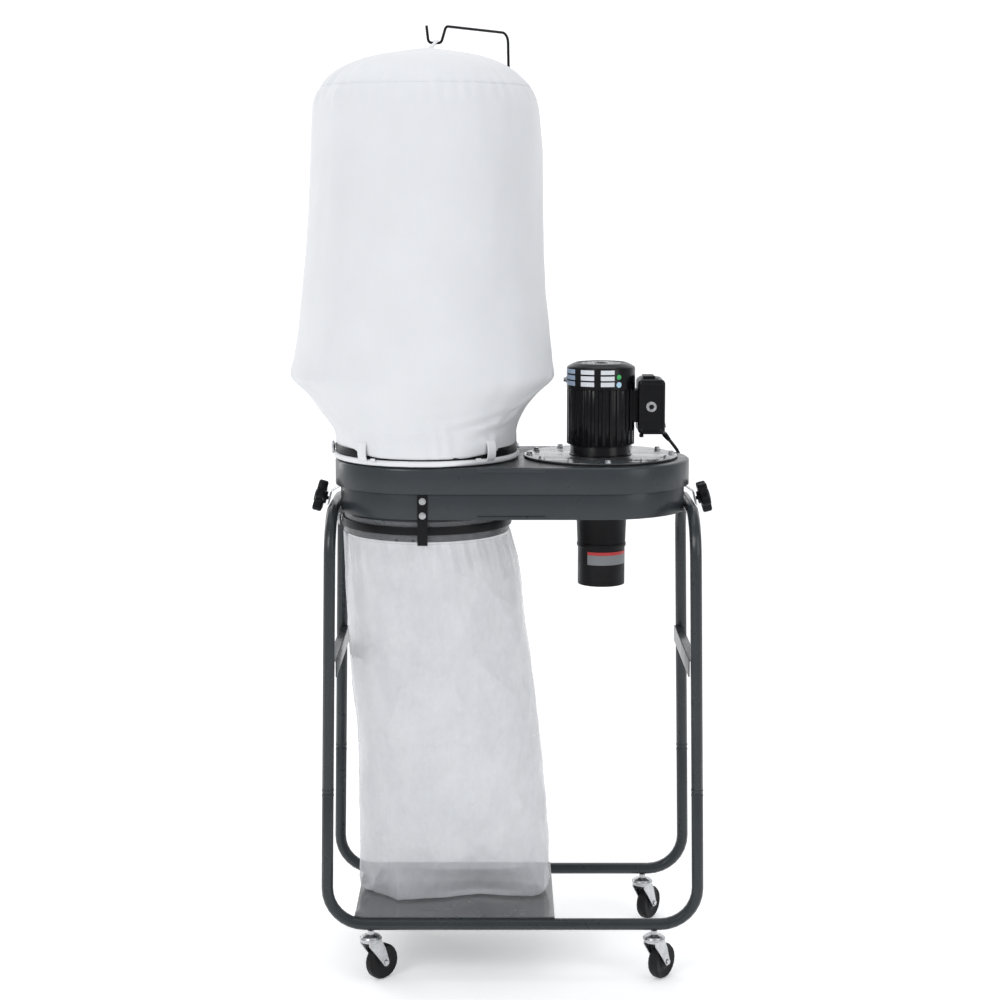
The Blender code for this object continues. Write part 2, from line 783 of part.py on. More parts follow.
def build_bearing_plate():
    """The motor's upper end shield, which holds the upper bearing inside the fan cover."""
    profile = [
        (0.0200, 1.2330),
        (0.0560, 1.2330),
        (0.0560, 1.2200),
        (0.0530, 1.2200),
        (0.0530, 1.2300),
        (0.0245, 1.2300),
        (0.0245, 1.2215),
        (0.0200, 1.2215),
    ]
    turned("upper_end_shield", profile, "steel", (FAN_X, 0, 0), 20, ring=True)


def blades(name, disc, vane, hub, radius, count, finish):
    """A disc with a hub and straight vanes. disc and vane are the lowest and highest heights of each."""
    disc_low, disc_high = disc
    vane_low, vane_high = vane
    low, high = min(disc_low, vane_low), max(disc_high, vane_high)
    bore = SHAFT_R + GAP
    wheel = outline(
        name,
        [circle(radius, 28), circle(bore, 12)],
        disc_high - disc_low,
        finish,
        Matrix.Translation((FAN_X, 0, (disc_low + disc_high) / 2)),
    )
    boss = [(bore, high - 0.0005), (hub * 0.75, high - 0.0005), (hub * 0.75, low + 0.0005), (bore, low + 0.0005)]
    cut(wheel, turned(f"{name}_hub", boss, None, (FAN_X, 0, 0), 16, ring=True), "UNION")
    for i in range(count):
        vane_box = box(f"{name}_vane_{i}", (hub * 0.6, -0.001, vane_low), (radius - 0.002, 0.001, vane_high))
        middle = Vector(vane_box.location)
        turn = Matrix.Rotation(2 * math.pi * (i + 0.5) / count, 4, "Z")
        vane_box.matrix_world = Matrix.Translation((FAN_X, 0, 0)) @ turn @ Matrix.Translation(middle)
        cut(wheel, vane_box, "UNION")


# ---- switch box ----


def build_switch_box():
    low = (BOX_X[0], BOX_Y[0] + 0.010, BOX_Z[0])
    high = (BOX_X[1], BOX_Y[1], BOX_Z[1])
    case = box("switch_box", low, high, "black_plastic", bevel=0.006)
    neck = box("switch_box_neck", (FAN_X + MOTOR_R + GAP, -0.030, 1.166), (BOX_X[0] + 0.004, 0.030, 1.234))
    cut(case, neck, "UNION")
    cut(
        case,
        box(
            "switch_box_room",
            (BOX_X[0] + 0.003, BOX_Y[0] - 0.01, BOX_Z[0] + 0.003),
            (BOX_X[1] - 0.003, BOX_Y[1] - 0.020, BOX_Z[1] - 0.003),
        ),
    )
    cut(case, box("rocker_hole", (BOX_X[1] - 0.01, -0.020, 1.1520), (BOX_X[1] + 0.01, 0.008, 1.1890)))
    corner = box("gland_corner", (-0.04, -0.04, 0.0), (0.04, 0.04, 0.04))
    corner.matrix_world = gland_place() @ Matrix.Translation((0, 0, 0.02))
    cut(case, corner)
    hole = cylinder("gland_hole", 0.0040, -0.05, 0.01, None, sides=12)
    hole.matrix_world = gland_place()
    cut(case, hole)
    lid = box(
        "switch_box_lid",
        (BOX_X[0], BOX_Y[0], BOX_Z[0]),
        (BOX_X[1], BOX_Y[0] + 0.010 - GAP, BOX_Z[1]),
        "black_plastic",
        bevel=0.003,
    )
    cut(lid, box("lid_recess", (0.269, BOX_Y[0] - 0.01, 1.146), (0.314, BOX_Y[0] + 0.0025, 1.256)))

    pivot = Vector((BOX_X[1] - 0.0005, -0.006, 1.1705))
    wings = [(-0.006, -0.0165), (0.0045, -0.0165), (0.0015, 0.0), (0.0010, 0.0165), (-0.006, 0.0165)]
    upright = Matrix(((1, 0, 0, 0), (0, 0, -1, 0), (0, 1, 0, 0), (0, 0, 0, 1)))
    outline("rocker_switch", [wings], 0.024, "black_gloss", Matrix.Translation(pivot) @ upright)


# ---- mains cord ----


def gland_place():
    """The gland's own frame: +Z points out of the flat on the box's corner."""
    corner = Vector((BOX_X[1], BOX_Y[1], BOX_Z[0]))
    turn = GLAND_AXIS.to_track_quat("Z", "Y").to_matrix().to_4x4()
    return Matrix.Translation(corner - GLAND_AXIS * GLAND_DEPTH) @ turn


def build_cord():
    end = GLAND_LENGTH
    gland = [
        (0.0026, end),
        (0.0048, end),
        (0.0062, 0.008),
        (0.0078, 0.0055),
        (0.0078, GAP),
        (0.0026, GAP),
    ]
    turned("cable_gland", gland, "black_plastic", sides=12, ring=True).matrix_world = gland_place()
    place = gland_place()
    start = [place @ Vector((0, 0, end + GAP + along)) for along in (0, 0.010)]
    tube("mains_cord", smooth_path([*start, *CORD_ROUTE], 0.0205), CORD_R, "rubber", sides=2)
    inner, outer = COIL_MIDDLE_R - COIL_HALF_WIDTH, COIL_MIDDLE_R + COIL_HALF_WIDTH
    chamfer = 0.003
    section = [
        (inner, COIL_TOP_Z - chamfer),
        (inner + chamfer, COIL_TOP_Z),
        (outer - chamfer, COIL_TOP_Z),
        (outer, COIL_TOP_Z - chamfer),
        (outer, GAP + chamfer),
        (outer - chamfer, GAP),
        (inner + chamfer, GAP),
        (inner, GAP + chamfer),
    ]
    turned("cord_coil", section, "rubber", (*COIL_CENTRE, 0), 24, ring=True)
    build_plug()


def build_plug():
    """The plug lies on the coil, with its three pins along -X."""
    length, width, height = PLUG_SIZE
    low = COIL_TOP_Z + GAP
    face_x = PLUG_END_X - length
    body = box(
        "mains_plug",
        (face_x, PLUG_Y - width / 2, low),
        (PLUG_END_X, PLUG_Y + width / 2, low + height),
        "rubber",
        bevel=0.005,
    )
    middle = low + height / 2
    for i, (y, z) in enumerate(((-0.0065, 0.003), (0.0065, 0.003), (0.0, -0.0045))):
        at = (face_x - PIN_LENGTH, PLUG_Y + y - 0.002, middle + z - 0.002)
        to = (face_x + 0.006, PLUG_Y + y + 0.002, middle + z + 0.002)
        cut(body, box(f"plug_pin_{i}", at, to), "UNION")


# ---- inlet ----
def build_port():
    r = PORT_R
    flange_z = PAN_BOTTOM_Z + SHEET + GAP
    port = [
        (0.0475, flange_z + 0.003),
        (0.0720, flange_z + 0.003),
        (0.0720, flange_z),
        (0.0538, flange_z),
        (0.0510, 0.9080),
        (0.0522, 0.9070),
        (0.0522, 0.9000),
        (r, 0.8990),
        (r, 0.8180),
        (r - 0.003, 0.8180),
        (r - 0.003, 0.9000),
    ]
    turned("inlet_port", port, "black_plastic", (PORT_X, 0, 0), 28, ring=True)


# ---- clamp brackets and knobs ----
def build_clamps():
    for side, sign in (("left", -1), ("right", 1)):
        wall = SADDLE_X + GAP
        profile = [
            (wall, 1.0085),
            (wall + 0.002, 1.0085),
            (wall + 0.002, 1.0310),
            (0.3835, 1.0160),
            (0.3900, 0.9880),
            (0.3920, 0.9885),
            (0.3855, 1.0170),
            (wall + 0.004, 1.0335),
            (wall, 1.0335),
        ]
        frame = Matrix(((sign, 0, 0, 0), (0, 0, -1, 0), (0, 1, 0, 0), (0, 0, 0, 1)))
        bracket = outline(f"{side}_bracket", [profile], 0.044, "zinc", frame)
        away = Matrix.Rotation(sign * (math.pi / 2 - KNOB_TILT), 4, "Y")
        place = Matrix.Translation((sign * KNOB_X, 0, KNOB_Z)) @ away
        hole = cylinder(f"{side}_stud_hole", 0.0046, -0.02, 0.02, None, sides=16)
        hole.matrix_world = place
        cut(bracket, hole)
        build_knob(side, place)


def build_knob(side, place):
    """Five lobes round a hub, with its threaded stud through the bracket."""
    steps = 30
    lobes = []
    for i in range(steps):
        angle = 2 * math.pi * i / steps
        radius = KNOB_R * (0.80 + 0.20 * math.cos(5 * angle) - 0.03 * math.cos(10 * angle)) / 0.97
        lobes.append((radius * math.cos(angle), radius * math.sin(angle)))
    knob = outline(
        f"{side}_knob", [lobes], 0.020, "black_plastic", place @ Matrix.Translation((0, 0, 0.018))
    )
    edge = knob.modifiers.new("rounded_edges", "BEVEL")
    edge.width = 0.004
    edge.segments = 1
    edge.limit_method = "ANGLE"
    edge.angle_limit = math.radians(60)
    hub = [(0, 0.0305), (0.012, 0.0300), (0.0135, 0.0280), (0.0135, 0.0035)]
    hub += [(0.0040, 0.0035), (0.0040, -0.0030), (0, -0.0030)]
    core = turned(f"{side}_knob_hub", hub, None, sides=14)
    core.matrix_world = place
    cut(knob, core, "UNION")


def main():
    clear_scene()
    build_stand()
    for end, side in CASTER_TURN:
        build_caster(end, side)
    build_housing()
    build_rod()
    build_bags()
    build_clamp("filter_bag", FILTER_SECTIONS[0][0], FILTER_BAND_Z)
    build_clamp("collection_bag", COLLECTION_SECTIONS[0][3], DRUM_BAND_Z)
    build_retaining_strip()
    build_motor()
    build_switch_box()
    build_cord()
    build_port()
    build_clamps()
    bpy.context.view_layer.update()
    for obj in bpy.data.objects:
        obj.matrix_world = Matrix.Translation((CENTRE_X, 0, 0)) @ obj.matrix_world


main()
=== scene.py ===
"""Looks of the twin-bag dust collector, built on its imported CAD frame.

Lengths are in metres. Points written in the stand's own frame are moved by CX, which is read from the frame.
"""

import json
import math

import bmesh
import bpy
import numpy as np
from mathutils import Matrix, Vector, noise


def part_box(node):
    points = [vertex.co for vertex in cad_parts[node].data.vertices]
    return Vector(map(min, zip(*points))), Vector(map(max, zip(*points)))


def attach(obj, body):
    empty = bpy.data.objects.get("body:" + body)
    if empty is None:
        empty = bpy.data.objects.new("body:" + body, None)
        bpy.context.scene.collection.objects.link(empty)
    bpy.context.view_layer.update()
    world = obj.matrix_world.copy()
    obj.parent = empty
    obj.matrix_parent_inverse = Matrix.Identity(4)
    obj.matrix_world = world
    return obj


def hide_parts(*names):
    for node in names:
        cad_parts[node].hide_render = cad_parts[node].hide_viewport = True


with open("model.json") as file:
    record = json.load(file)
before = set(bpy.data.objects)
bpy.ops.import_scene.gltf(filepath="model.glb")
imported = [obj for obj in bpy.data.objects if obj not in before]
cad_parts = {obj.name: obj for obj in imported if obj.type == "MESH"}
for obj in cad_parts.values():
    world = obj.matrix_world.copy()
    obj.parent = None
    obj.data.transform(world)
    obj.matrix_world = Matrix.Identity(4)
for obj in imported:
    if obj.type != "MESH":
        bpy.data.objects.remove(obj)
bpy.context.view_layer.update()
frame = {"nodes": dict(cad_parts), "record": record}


def middle(node):
    low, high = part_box(node)
    return (low + high) / 2


FAN_X = middle("rotor_shaft").x
CX = FAN_X - 0.187
BAG_X = CX - 0.1815
PLATE_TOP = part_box("base_plate")[1].z
ROOT = "frame"

# ---------------------------------------------------------------- camera
cam_data = bpy.data.cameras.new("camera")
cam_data.lens = 72.0
cam_data.sensor_width = 36.0
cam_data.shift_y = -0.04
camera = bpy.data.objects.new("camera", cam_data)
bpy.context.scene.collection.objects.link(camera)
camera.location = (CX - 0.026, -4.208, 1.6295)
camera.rotation_euler = (math.radians(82.5931), 0.0, 0.0)
bpy.context.scene.camera = camera


# ---------------------------------------------------------------- materials
def link(tree, out, into):
    tree.links.new(out, into)


def noise_node(tree, coords, scale, detail=3.0, rough=0.5, stretch=None):
    node = tree.nodes.new("ShaderNodeTexNoise")
    node.inputs["Scale"].default_value = scale
    node.inputs["Detail"].default_value = detail
    node.inputs["Roughness"].default_value = rough
    if stretch is not None:
        mapping = tree.nodes.new("ShaderNodeMapping")
        mapping.inputs["Scale"].default_value = stretch
        link(tree, coords, mapping.inputs["Vector"])
        coords = mapping.outputs["Vector"]
    link(tree, coords, node.inputs["Vector"])
    return node.outputs[0]


def ranged(tree, value, low, high, start=0.3, end=0.7):
    node = tree.nodes.new("ShaderNodeMapRange")
    node.inputs[1].default_value = start
    node.inputs[2].default_value = end
    node.inputs[3].default_value = low
    node.inputs[4].default_value = high
    link(tree, value, node.inputs[0])
    return node.outputs[0]


def mixed(tree, factor, first, second):
    """A colour mix; first and second are colours or sockets."""
    node = tree.nodes.new("ShaderNodeMix")
    node.data_type = "RGBA"
    link(tree, factor, node.inputs[0])
    for index, value in ((6, first), (7, second)):
        if isinstance(value, tuple):
            node.inputs[index].default_value = (*value, 1.0)
        else:
            link(tree, value, node.inputs[index])
    return node.outputs[2]


def finish(
    name,
    colour,
    rough,
    metal=0.0,
    mottle=0.10,
    mottle_scale=9.0,
    grain=700.0,
    grain_depth=0.00006,
    rough_by=0.08,
    stretch=None,
    coat=0.0,
    sheen=0.0,
    wear=None,
    spec=0.5,
):
    """A Principled material with colour variation, uneven roughness, a fine grain and, if given, wear."""
    made = bpy.data.materials.new(name)
    made.use_nodes = True
    tree = made.node_tree
    shader = tree.nodes["Principled BSDF"]
    coords = tree.nodes.new("ShaderNodeTexCoord").outputs["Object"]
    broad = noise_node(tree, coords, mottle_scale, 4.0, 0.55, stretch)
    dark = tuple(c * (1 - mottle) for c in colour)
    light = tuple(min(1.0, c * (1 + mottle)) for c in colour)
    base = mixed(tree, ranged(tree, broad, 0.0, 1.0), dark, light)
    if wear is not None:
        patches = noise_node(tree, coords, 38.0, 8.0, 0.68)
        base = mixed(tree, ranged(tree, patches, 0.0, 0.55, 0.64, 0.74), base, wear)
    link(tree, base, shader.inputs["Base Color"])
    smudge = noise_node(tree, coords, mottle_scale * 2.7, 5.0, 0.6, stretch)
    link(
        tree, ranged(tree, smudge, max(0.02, rough - rough_by), rough + rough_by),
        shader.inputs["Roughness"]
    )
    shader.inputs["Metallic"].default_value = metal
    shader.inputs["Specular IOR Level"].default_value = spec
    shader.inputs["Coat Weight"].default_value = coat
    shader.inputs["Coat Roughness"].default_value = 0.12
    shader.inputs["Sheen Weight"].default_value = sheen
    shader.inputs["Sheen Roughness"].default_value = 0.6
    bump = tree.nodes.new("ShaderNodeBump")
    bump.inputs["Strength"].default_value = 0.6
    bump.inputs["Distance"].default_value = grain_depth
    link(tree, noise_node(tree, coords, grain, 3.0, 0.6, stretch), bump.inputs["Height"])
    link(tree, bump.outputs["Normal"], shader.inputs["Normal"])
    return made


PAINT = finish(
    "stand_paint", (0.022, 0.027, 0.030), 0.30, mottle=0.10, grain=420.0, coat=0.12, rough_by=0.06,
    spec=0.35
)
HOUSING = finish(
    "housing_paint_fine", (0.028, 0.033, 0.037), 0.34, mottle=0.08, grain=380.0, coat=0.10, spec=0.35
)
# The housing's paint with its colour lightened as a painted reflection; the coat adds real gloss on top.
PLATE_PAINT_WITH_PAINTED_REFLECTION = finish(
    "plate_paint_with_painted_reflection", (0.054, 0.059, 0.063), 0.24, mottle=0.08, grain=300.0, coat=0.5, rough_by=0.05
)
ZINC = finish(
    "zinc_plate", (
        0.56, 0.57, 0.58
    ), 0.30, 1.0, mottle=0.14, mottle_scale=60.0, grain=900.0, wear=(0.40, 0.40, 0.39)
)
STEEL = finish(
    "bright_steel", (0.50, 0.51, 0.52), 0.26, 1.0, stretch=(1.0, 1.0, 14.0), mottle_scale=40.0
)
PLASTIC = finish(
    "moulded_plastic", (
        0.006, 0.006, 0.007
    ), 0.40, grain=1500.0, grain_depth=0.00010, mottle=0.2, spec=0.16
)
GLOSS = finish(
    "black_enamel", (0.004, 0.004, 0.005), 0.22, grain=260.0, rough_by=0.05, mottle=0.2, spec=0.22
)
RUBBER = finish(
    "cord_rubber", (0.010, 0.010, 0.011), 0.60, grain=1300.0, mottle=0.25, rough_by=0.12, spec=0.2
)
TYRE = finish(
    "wheel_rubber", (0.010, 0.010, 0.011), 0.55, grain=800.0, mottle=0.3, wear=(0.018, 0.017, 0.016),
    spec=0.2
)
COPPER = finish("winding_copper", (0.55, 0.23, 0.10), 0.34, 1.0, stretch=(1.0, 1.0, 40.0))
LABEL = finish("blank_label", (0.66, 0.68, 0.72), 0.30, mottle=0.04, grain=300.0)
LABEL_BLUE = finish("blank_label_blue", (0.34, 0.43, 0.56), 0.30, mottle=0.06)
LABEL_RED = finish("label_header", (0.50, 0.03, 0.03), 0.34, mottle=0.06)
LABEL_GREY = finish("label_block", (0.20, 0.21, 0.22), 0.34, mottle=0.06)
GREEN = finish("green_dot", (0.04, 0.40, 0.10), 0.28, mottle=0.08)
PALE_BLUE = finish("pale_blue_dot", (0.42, 0.62, 0.78), 0.28, mottle=0.08)
WEBBING = finish(
    "white_webbing", (0.76, 0.77, 0.78), 0.85, mottle=0.06, grain=1.0e3, grain_depth=0.0004, sheen=0.3
)


def felt():
    """Needle-punched white filter cloth."""
    made = finish(
        "filter_felt",
        (0.70, 0.71, 0.725),
        0.90,
        mottle=0.035,
        mottle_scale=5.0,
        grain=520.0,
        grain_depth=0.0005,
        sheen=0.35,
        spec=0.2,
    )
    return made


def film():
    """Frosted polythene: it lets through about half of what is behind it."""
    made = finish(
        "frosted_film",
        (0.60, 0.61, 0.635),
        0.20,
        mottle=0.05,
        mottle_scale=14.0,
        grain=60.0,
        grain_depth=0.0010,
        rough_by=0.08,
        spec=0.55,
    )
    tree = made.node_tree
    shader = tree.nodes["Principled BSDF"]
    coords = next(n for n in tree.nodes if n.bl_idname == "ShaderNodeTexCoord").outputs["Object"]
    cloudy = noise_node(tree, coords, 16.0, 6.0, 0.62, (1.0, 1.0, 0.6))
    loose = ranged(tree, cloudy, 0.50, 0.66)
    apart = tree.nodes.new("ShaderNodeSeparateXYZ")
    link(tree, coords, apart.inputs[0])
    tight = ranged(tree, apart.outputs[2], 0.0, 1.0, 0.929, 0.936)
    clear = tree.nodes.new("ShaderNodeMix")
    link(tree, tight, clear.inputs[0])
    link(tree, loose, clear.inputs[2])
    clear.inputs[3].default_value = 0.14
    link(tree, clear.outputs[0], shader.inputs["Alpha"])
    return made


FELT = felt()
FILM = film()


# ---------------------------------------------------------------- mesh helpers
def publish(name, mesh, material, body=ROOT, smooth=True):
    obj = bpy.data.objects.new(name, mesh)
    bpy.context.scene.collection.objects.link(obj)
    mesh.materials.clear()
    mesh.materials.append(material)
    if smooth:
        mesh.shade_smooth()
    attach(obj, body)
    return obj


def mesh_from(name, bm):
    mesh = bpy.data.meshes.new(name)
    bmesh.ops.recalc_face_normals(bm, faces=bm.faces)
    bm.to_mesh(mesh)
    bm.free()
    return mesh


def grid_mesh(name, rows, wrap=True, caps=()):
    """A sheet through a rows x columns x 3 array of points; wrap closes the columns into a ring."""
    count, sides = rows.shape[:2]
    verts = rows.reshape(-1, 3)
    faces = []
    across = sides if wrap else sides - 1
    for r in range(count - 1):
        for c in range(across):
            d = (c + 1) % sides
            faces.append((r * sides + c, r * sides + d, (r + 1) * sides + d, (r + 1) * sides + c))
    if "first" in caps:
        faces.append(tuple(range(sides))[::-1])
    if "last" in caps:
        faces.append(tuple(range((count - 1) * sides, count * sides)))
    mesh = bpy.data.meshes.new(name)
    mesh.from_pydata([tuple(v) for v in verts], [], faces)
    mesh.validate()
    return mesh


def turned(profile, centre, sides=64, closed=False, axis=None):
    """bmesh of a (radius, height) profile turned about an upright line, or about axis, through centre."""
    bm = bmesh.new()
    place = Matrix.Translation(centre)
    if axis is not None:
        place = place @ Vector(axis).to_track_quat("Z", "Y").to_matrix().to_4x4()
    rings = []
    for radius, height in profile:
        rings.append(
            [
                bm.verts.new(place @ Vector((radius * math.cos(a), radius * math.sin(a), height)))
                for a in (2 * math.pi * i / sides for i in range(sides))
            ]
        )
    pairs = list(zip(rings, rings[1:]))
    if closed:
        pairs.append((rings[-1], rings[0]))
    for a, b in pairs:
        for i in range(sides):
            j = (i + 1) % sides
            bm.faces.new((a[i], a[j], b[j], b[i]))
    if not closed:
        bm.faces.new(rings[0][::-1])
        bm.faces.new(rings[-1])
    return bm


def joined(parts):
    """One bmesh out of several."""
    whole = bmesh.new()
    for bm in parts:
        mesh = bpy.data.meshes.new("part")
        bm.to_mesh(mesh)
        bm.free()
        whole.from_mesh(mesh)
        bpy.data.meshes.remove(mesh)
    return whole


def slab(low, high, bevel=0.0008, segments=3, turn=None):
    """bmesh of a block with rounded edges."""
    bm = bmesh.new()
    bmesh.ops.create_cube(bm, size=1.0)
    low, high = Vector(low), Vector(high)
    size, centre = high - low, (low + high) / 2
    for v in bm.verts:
        v.co = Vector((v.co.x * size.x, v.co.y * size.y, v.co.z * size.z))
    bmesh.ops.bevel(
        bm, geom=list(bm.edges), offset=bevel, segments=segments, profile=0.5, affect="EDGES"
    )
    move = Matrix.Translation(centre)
    if turn is not None:
        move = move @ turn
    bm.transform(move)
    return bm


def hexagon(flats, low, high, centre, axis=(0, 0, 1), spin=0.0, dome=0.0006):
    """bmesh of a chamfered hexagon head or nut."""
    bm = bmesh.new()
    corner = flats / 2 / math.cos(math.pi / 6)
    levels = [(corner, low), (corner, high - dome), (corner - dome * 1.2, high)]
    place = Matrix.Translation(centre) @ Vector(axis).to_track_quat("Z", "Y").to_matrix().to_4x4()
    rings = []
    for radius, height in levels:
        rings.append(
            [
                bm.verts.new(place @ Vector((radius * math.cos(a), radius * math.sin(a), height)))
                for a in (spin + math.pi * i / 3 for i in range(6))
            ]
        )
    for a, b in zip(rings, rings[1:]):
        for i in range(6):
            j = (i + 1) % 6
            bm.faces.new((a[i], a[j], b[j], b[i]))
    bm.faces.new(rings[0][::-1])
    bm.faces.new(rings[-1])
    return bm


def bolt(centre, axis=(0, 0, 1), flats=0.010, head=0.0045, washer=0.0075, spin=0.0, stud=0.0):
    """bmesh of a washer with a hexagon head on it, and a domed stud end through it when stud is given."""
    parts = [
        turned(
            [(0.001, 0.0), (washer, 0.0), (washer, 0.0011), (washer - 0.0003, 0.0014), (0.001, 0.0014)],
            centre, 28, axis=axis
        ),
        hexagon(flats, 0.0014, 0.0014 + head, centre, axis, spin),
    ]
    if stud:
        r = flats * 0.29
        top = 0.0014 + head + stud
        parts.append(
            turned(
                [(r, 0.002), (r, top - r * 0.3), (r * 0.8, top - r * 0.08), (r * 0.3, top)], centre, 20,
                axis=axis
            )
        )
    return joined(parts)


def wrapped_patch(
    centre_x, radius, start, end, low, high, thick=0.0004, steps=14, bulge=0.0, lift=None
):
    """bmesh of a thin plate bent round an upright cylinder, from angle start to end in degrees."""
    bm = bmesh.new()
    grid = []
    for k in range(5):
        t = k / 4
        z = low + (high - low) * t
        row = []
        for i in range(steps + 1):
            a = math.radians(start + (end - start) * i / steps)
            r = radius + bulge * math.sin(math.pi * t) + (lift(t) if lift else 0.0)
            row.append(bm.verts.new((centre_x + r * math.cos(a), r * math.sin(a), z)))
        grid.append(row)
    for a, b in zip(grid, grid[1:]):
        for i in range(steps):
            bm.faces.new((a[i], a[i + 1], b[i + 1], b[i]))
    bmesh.ops.recalc_face_normals(bm, faces=bm.faces)
    outward = bm.faces[0].normal.dot(bm.faces[0].calc_center_median() - Vector((centre_x, 0, low))) > 0
    bmesh.ops.solidify(bm, geom=list(bm.faces), thickness=-thick if outward else thick)
    return bm


def bar(points, radius, sides=12, taper=None):
    """bmesh of a round bar along points with rounded-off ends."""
    points = [Vector(p) for p in points]
    bm = bmesh.new()
    rings = []
    side = None
    for i, p in enumerate(points):
        along = (points[min(i + 1, len(points) - 1)] - points[max(i - 1, 0)]).normalized()
        if side is None:
            side = along.orthogonal().normalized()
        side = (side - along * side.dot(along)).normalized()
        other = along.cross(side)
        r = radius if taper is None else taper[i]
        rings.append(
            [
                bm.verts.new(p + (side * math.cos(a) + other * math.sin(a)) * r)
                for a in (2 * math.pi * k / sides for k in range(sides))
            ]
        )
    for a, b in zip(rings, rings[1:]):
        for k in range(sides):
            j = (k + 1) % sides
            bm.faces.new((a[k], a[j], b[j], b[k]))
    bm.faces.new(rings[0][::-1])
    bm.faces.new(rings[-1])
    return bm


def ribbon(points, width_dir, width, thick):
    """bmesh of a flat strap along points, its width along width_dir."""
    points = [Vector(p) for p in points]
    wide = Vector(width_dir).normalized() * width / 2
    bm = bmesh.new()
    rings = []
    for i, p in enumerate(points):
        along = (points[min(i + 1, len(points) - 1)] - points[max(i - 1, 0)]).normalized()
        up = along.cross(wide).normalized() * thick / 2
        rings.append(
            [bm.verts.new(p + wide * s + up * t) for s, t in ((-1, -1), (1, -1), (1, 1), (-1, 1))]
        )
    for a, b in zip(rings, rings[1:]):
        for k in range(4):
            j = (k + 1) % 4
            bm.faces.new((a[k], a[j], b[j], b[k]))
    bm.faces.new(rings[0][::-1])
    bm.faces.new(rings[-1])
    return bm


def place(name, bm, material, body=ROOT, slot=None, angle=35.0):
    """Publishes a bmesh as a piece, smooth except at its sharp edges."""
    mesh = mesh_from(name, bm)
    obj = publish(name, mesh, material, body, smooth=False)
    mesh.shade_smooth()
    mesh.set_sharp_from_angle(angle=math.radians(angle))
    return obj


# ---------------------------------------------------------------- mains cord
CORD_D = 0.007
COIL = Vector((-0.1145 + CX, 0.2520, 0.0))
TURN = 0.0072
FLOOR_Z = 0.0040
RING_OUT = 0.0481
RING_IN = RING_OUT - 2 * TURN
GLAND_AXIS = Vector((0.50, 0.60, -0.62)).normalized()
GLAND_BASE = Vector((0.320 + CX, 0.044, 1.140)) - GLAND_AXIS * 0.013
CORD_ROUTE = [
    (0.3480, 0.0776, 1.1055),
    (0.3590, 0.0905, 1.0895),
    (0.3665, 0.1020, 1.0680),
    (0.3705, 0.1140, 1.0400),
    (0.3720, 0.1330, 1.0080),
    (0.3730, 0.1600, 0.9870),
    (0.3740, 0.1840, 0.9550),
    (0.3745, 0.1945, 0.9150),
    (0.3755, 0.1945, 0.8600),
    (0.3775, 0.1945, 0.7400),
    (0.3795, 0.1945, 0.6200),
    (0.3815, 0.1945, 0.5000),
    (0.3835, 0.1945, 0.3800),
    (0.3855, 0.1945, 0.2700),
    (0.3840, 0.1945, 0.1980),
    (0.3660, 0.1945, 0.1480),
    (0.3260, 0.1945, 0.1260),
    (0.2600, 0.1945, 0.1230),
    (0.1600, 0.1945, 0.1230),
    (0.0800, 0.1960, 0.1210),
    (0.0150, 0.2010, 0.1080),
    (-0.0220, 0.2100, 0.0760),
    (-0.0400, 0.2200, 0.0410),
    (-0.0510, 0.2330, 0.0140),
    (-0.0585, 0.2470, 0.0050),
]


def coil_points():
    """Two turns inward on the floor, up a layer, then outward on top, and off across the coil to the plug."""
    points = []
    step = 15

    def at(angle, radius, z):
        a = math.radians(angle)
        points.append(COIL + Vector((radius * math.cos(a), radius * math.sin(a), z)))

    def ease(t):
        t = min(1.0, max(0.0, t))
        return t * t * (3 - 2 * t)

    upper = FLOOR_Z + TURN
    plug_z = 0.0240
    for angle in range(12, 732, step):
        at(angle, RING_OUT - TURN * (angle - 12) / 360, FLOOR_Z)
    for angle in range(732, 822, step):
        at(angle, RING_IN, FLOOR_Z + TURN * ease((angle - 732) / 90))
    total = 71 + 47
    for angle in range(822, 1440, step):
        radius = RING_IN + TURN * (angle - 822) / 360
        run = (angle - 1350) / 90 * 71 / total
        at(angle, radius, upper + (plug_z - upper) * ease(run))
    reach = RING_IN + TURN * (1440 - 822) / 360
    arc = 0.030
    for turn in range(0, 91, 15):
        a = math.radians(turn)
        run = 71 / total + (turn / 90) * 47 / total
        z = upper + (plug_z - upper) * ease(run)
        points.append(COIL + Vector((reach - arc + arc * math.cos(a), arc * math.sin(a), z)))
    return points


exit_point = GLAND_BASE + GLAND_AXIS * 0.0273
route = [exit_point, exit_point + GLAND_AXIS * 0.010]
route += [Vector(p) + Vector((CX, 0, 0)) for p in CORD_ROUTE]
coil = coil_points()
route += coil
plug_start = coil[-1]
route.append(plug_start + Vector((-0.006, 0, 0)))

curve = bpy.data.curves.new("mains_cord_soft", "CURVE")
curve.dimensions = "3D"
curve.bevel_depth = CORD_D / 2
curve.bevel_resolution = 4
curve.resolution_u = 5
curve.use_fill_caps = True
spline = curve.splines.new("BEZIER")
spline.bezier_points.add(len(route) - 1)
for point, co in zip(spline.bezier_points, route):
    point.co = co
    point.handle_left_type = point.handle_right_type = "AUTO"
curve.materials.append(RUBBER)
cord = bpy.data.objects.new("mains_cord_soft", curve)
bpy.context.scene.collection.objects.link(cord)
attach(cord, ROOT)
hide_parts("mains_cord", "cord_coil")


def strain_relief(start, direction, length, wide, narrow, name):
    """A tapered, ribbed sleeve on the cord."""
    profile = []
    count = 9
    for i in range(count):
        t = i / count
        r = wide + (narrow - wide) * t
        low, high = length * t, length * (i + 1) / count
        profile += [
            (r, low), (r, low + (high - low) * 0.55), (r - 0.0007, low + (high - low) * 0.62),
            (r - 0.0007, high),
        ]
    inner = CORD_D / 2 + 0.0002
    profile += [(inner, length), (inner, 0.0)]
    return place(
        name, turned(profile, start, 28, closed=True, axis=direction), RUBBER, slot="black_rubber"
    )


